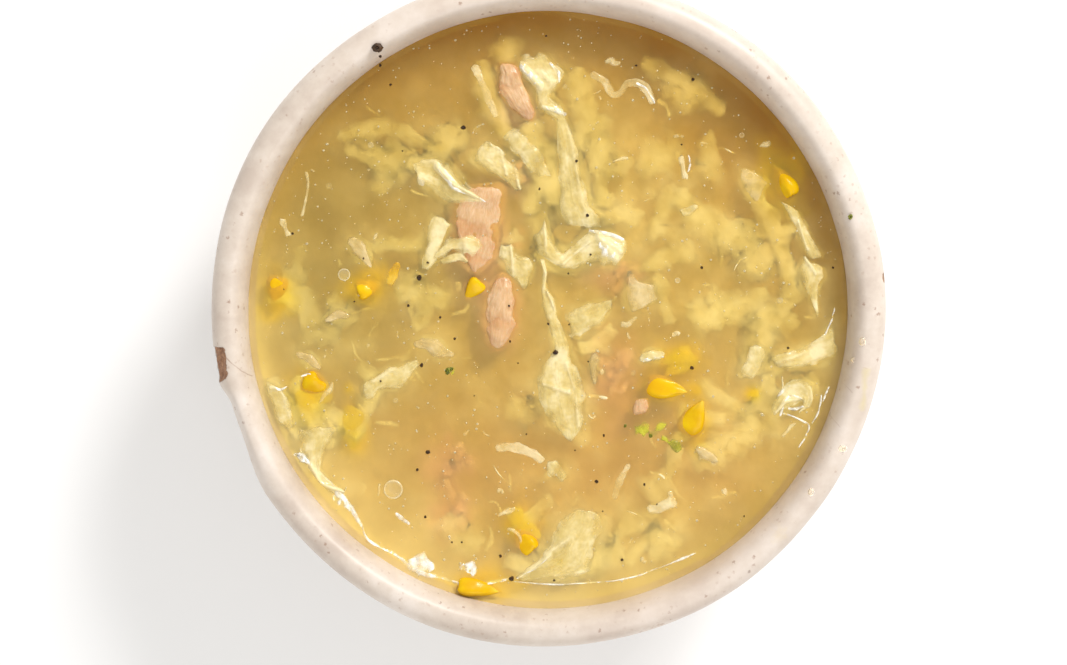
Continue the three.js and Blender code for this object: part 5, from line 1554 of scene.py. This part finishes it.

# %% [markdown]
# ## The skin near the wall, with painted glints
# Along the lower left wall a film of starch and fat has dried into a wrinkled line, and its crumples throw the light
# back as glints. Its colour is near-white, so the glints are also a painted highlight. Cloth pushed together would
# crumple so too; narrow, much creased ribbons lying on the broth are quicker and stay where they are put. The same
# glassy, near-white folds run along the crests of some leaves and lie alone in a few places, as painted highlights.

# %% The wrinkled skin, coloured as painted glints
painted_glint_skin = Finish("surface_skin")
m = painted_glint_skin
where = m.place()
patch = m.range(m.noise(where, 300, 4, 0.65), 0.35, 0.62, 0.15, 0.85)
inside = m.range(m.mark("edge"), 1.0, 0.6)
# Near-white colour: a painted highlight for the glints.
m.set(Base_Color=m.ramp(m.noise(where, 500, 3), (0.3, rgb(248, 236, 196)), (0.5, rgb(255, 253, 244))),
      Roughness=m.range(m.noise(where, 700, 2), 0.3, 0.7, 0.06, 0.14),
      Normal=m.bump(m.noise(where, 900, 3, 0.6), 0.7, 0.0005), Alpha=m.times(patch, inside), IOR=1.45)
m.coat(1.0, 0.05)
# Every ribbon takes the near-white colour as a painted highlight, along the wall, on crests of leaves, round the curl
# and alone.
RIBBONS = [
    # height over the surface, how torn, waves, first seed, and x, y and width along each ribbon
    (0.12, 0.7, 3, 60, [      # along the wall
        [[-59.9, -33.1, 1.0], [-56, -37.6, 0.7], [-50.8, -42.7, 1.8], [-47.7, -46.7, 1.2], [-44.8, -51.5, 0.6]],
        [[-44.8, -51.5, 0.6], [-42.8, -55.2, 0.9], [-36.4, -58.6, 0.9], [-32.1, -62.2, 1.8],
         [-25.6, -64, 1.0], [-18.8, -66, 0.9], [-8.8, -64.2, 0.6]],
        [[-33.5, -60, 2.0], [-30.3, -60.6, 4.6], [-27.2, -61.6, 1.6]],
        [[-21, -61.2, 1.6], [-19, -62, 3.4], [-17, -63.2, 1.2]],
        [[-51.5, -44, 1.4], [-49.5, -45.4, 2.8], [-47.2, -47.8, 1.2]],
        [[-61, -33.8, 1.0], [-59.2, -34.6, 1.8], [-57.6, -36, 0.8]],
        [[-36.4, -48.2, 0.6], [-34.9, -49.4, 1.3], [-33.4, -50.8, 0.6]],
        [[-7.8, -65, 0.5], [2.5, -65.6, 0.4], [16.9, -64.6, 0.4], [26.4, -61.8, 0.5], [36, -57.8, 0.4]]
    ]),
    (1.05, 0.5, 3, 90, [      # on the crests of leaves
        [[-26.2, 35.3, 0.8], [-22.3, 30.5, 1.3], [-18, 28.4, 0.8], [-14.9, 26.9, 0.5]],
        [[-6.8, 59.2, 0.8], [-4.4, 57, 1.5], [-2.8, 54.6, 0.9]],
        [[-1.1, 49.2, 0.6], [1.6, 48.4, 1.0], [4.6, 47.2, 0.6]],
        [[9.7, 19.9, 0.6], [13.5, 19.4, 1.2], [18.3, 17.7, 0.7]],
        [[12.2, 17.2, 1.2], [14.4, 15.2, 3.2], [16.4, 13.4, 1.2]],
        [[55.8, -24.5, 0.5], [56.8, -20.9, 0.6], [58.7, -19.5, 0.6], [60.6, -20.2, 0.5]]
    ]),
    (0.45, 0.5, 2, 140, [      # round the curl at the right, and elsewhere
        [[55.2, -19.6, 0.6], [57.6, -17.6, 0.9], [60.8, -17.2, 0.9], [62.2, -19.6, 0.7]],
        [[57.4, -22.6, 0.5], [59.6, -22.9, 0.8], [61.6, -21.9, 0.6]],
        [[63.4, -26.4, 0.4], [65.0, -23.4, 0.6], [65.6, -19.8, 0.4]],
        [[-65.6, -17.4, 0.4], [-64.2, -18.2, 0.7], [-62.8, -17.6, 0.4]],
        [[-58.8, -14.9, 0.4], [-57.0, -14.5, 0.6], [-55.4, -15.2, 0.4]],
        [[0.2, 59.6, 0.5], [2.4, 57.2, 0.9], [2.6, 54.8, 0.5]],
        [[25.4, 49.6, 0.4], [23.4, 53.2, 0.6], [20.6, 54.9, 0.5]]
    ]),
    (0.25, 0.5, 3, 110, [      # single glints
        [[56.3, -23.8, 0.5], [62.7, -26.9, 0.6], [60.3, -32.4, 0.4]],
        [[66.1, -20.9, 0.5], [66.8, -19, 0.6], [67.4, -17.6, 0.4]],
        [[66.1, -5.4, 0.4], [67.8, -1.6, 0.5], [68.6, 1.8, 0.4]],
        [[-57.6, -15.4, 0.5], [-56.4, -16.2, 0.8], [-55.2, -17.2, 0.5]],
        [[-7.5, -64.2, 0.4], [-2, -61, 0.5], [1, -57.6, 0.4]],
        [[22.5, -11.4, 0.6], [25, -10.6, 1.2], [27.6, -10.4, 0.6]],
        [[33.4, 37.6, 0.4], [33.8, 35.5, 0.7], [33.2, 33.6, 0.4]]
    ]),
]
creased = dict(ripple=0.25, crease=1.3, crinkle=0.45, slip=0.3, fine=0.25, thick=0.14, dip=0.3, curl=-0.1)
ribbons = [leaf(spine=line, rise=rise, jag=jag, waves=waves, seed=seed + k, **creased)
           for rise, jag, waves, seed, lines in RIBBONS for k, line in enumerate(lines)]
heap("surface_skin", ribbons, painted_glint_skin.leak(0.8), "broth")

# %% [markdown]
# ## Last
# The number of triangles is printed, with the largest pieces.

# %% Finish
count = {thing.name: sum(len(face.vertices) - 2 for face in thing.data.polygons)
         for thing in bpy.data.objects if thing.type == "MESH"}
largest = sorted(count, key=count.get, reverse=True)[:4]
print("triangles:", sum(count.values()), "largest:", [(name, count[name]) for name in largest])
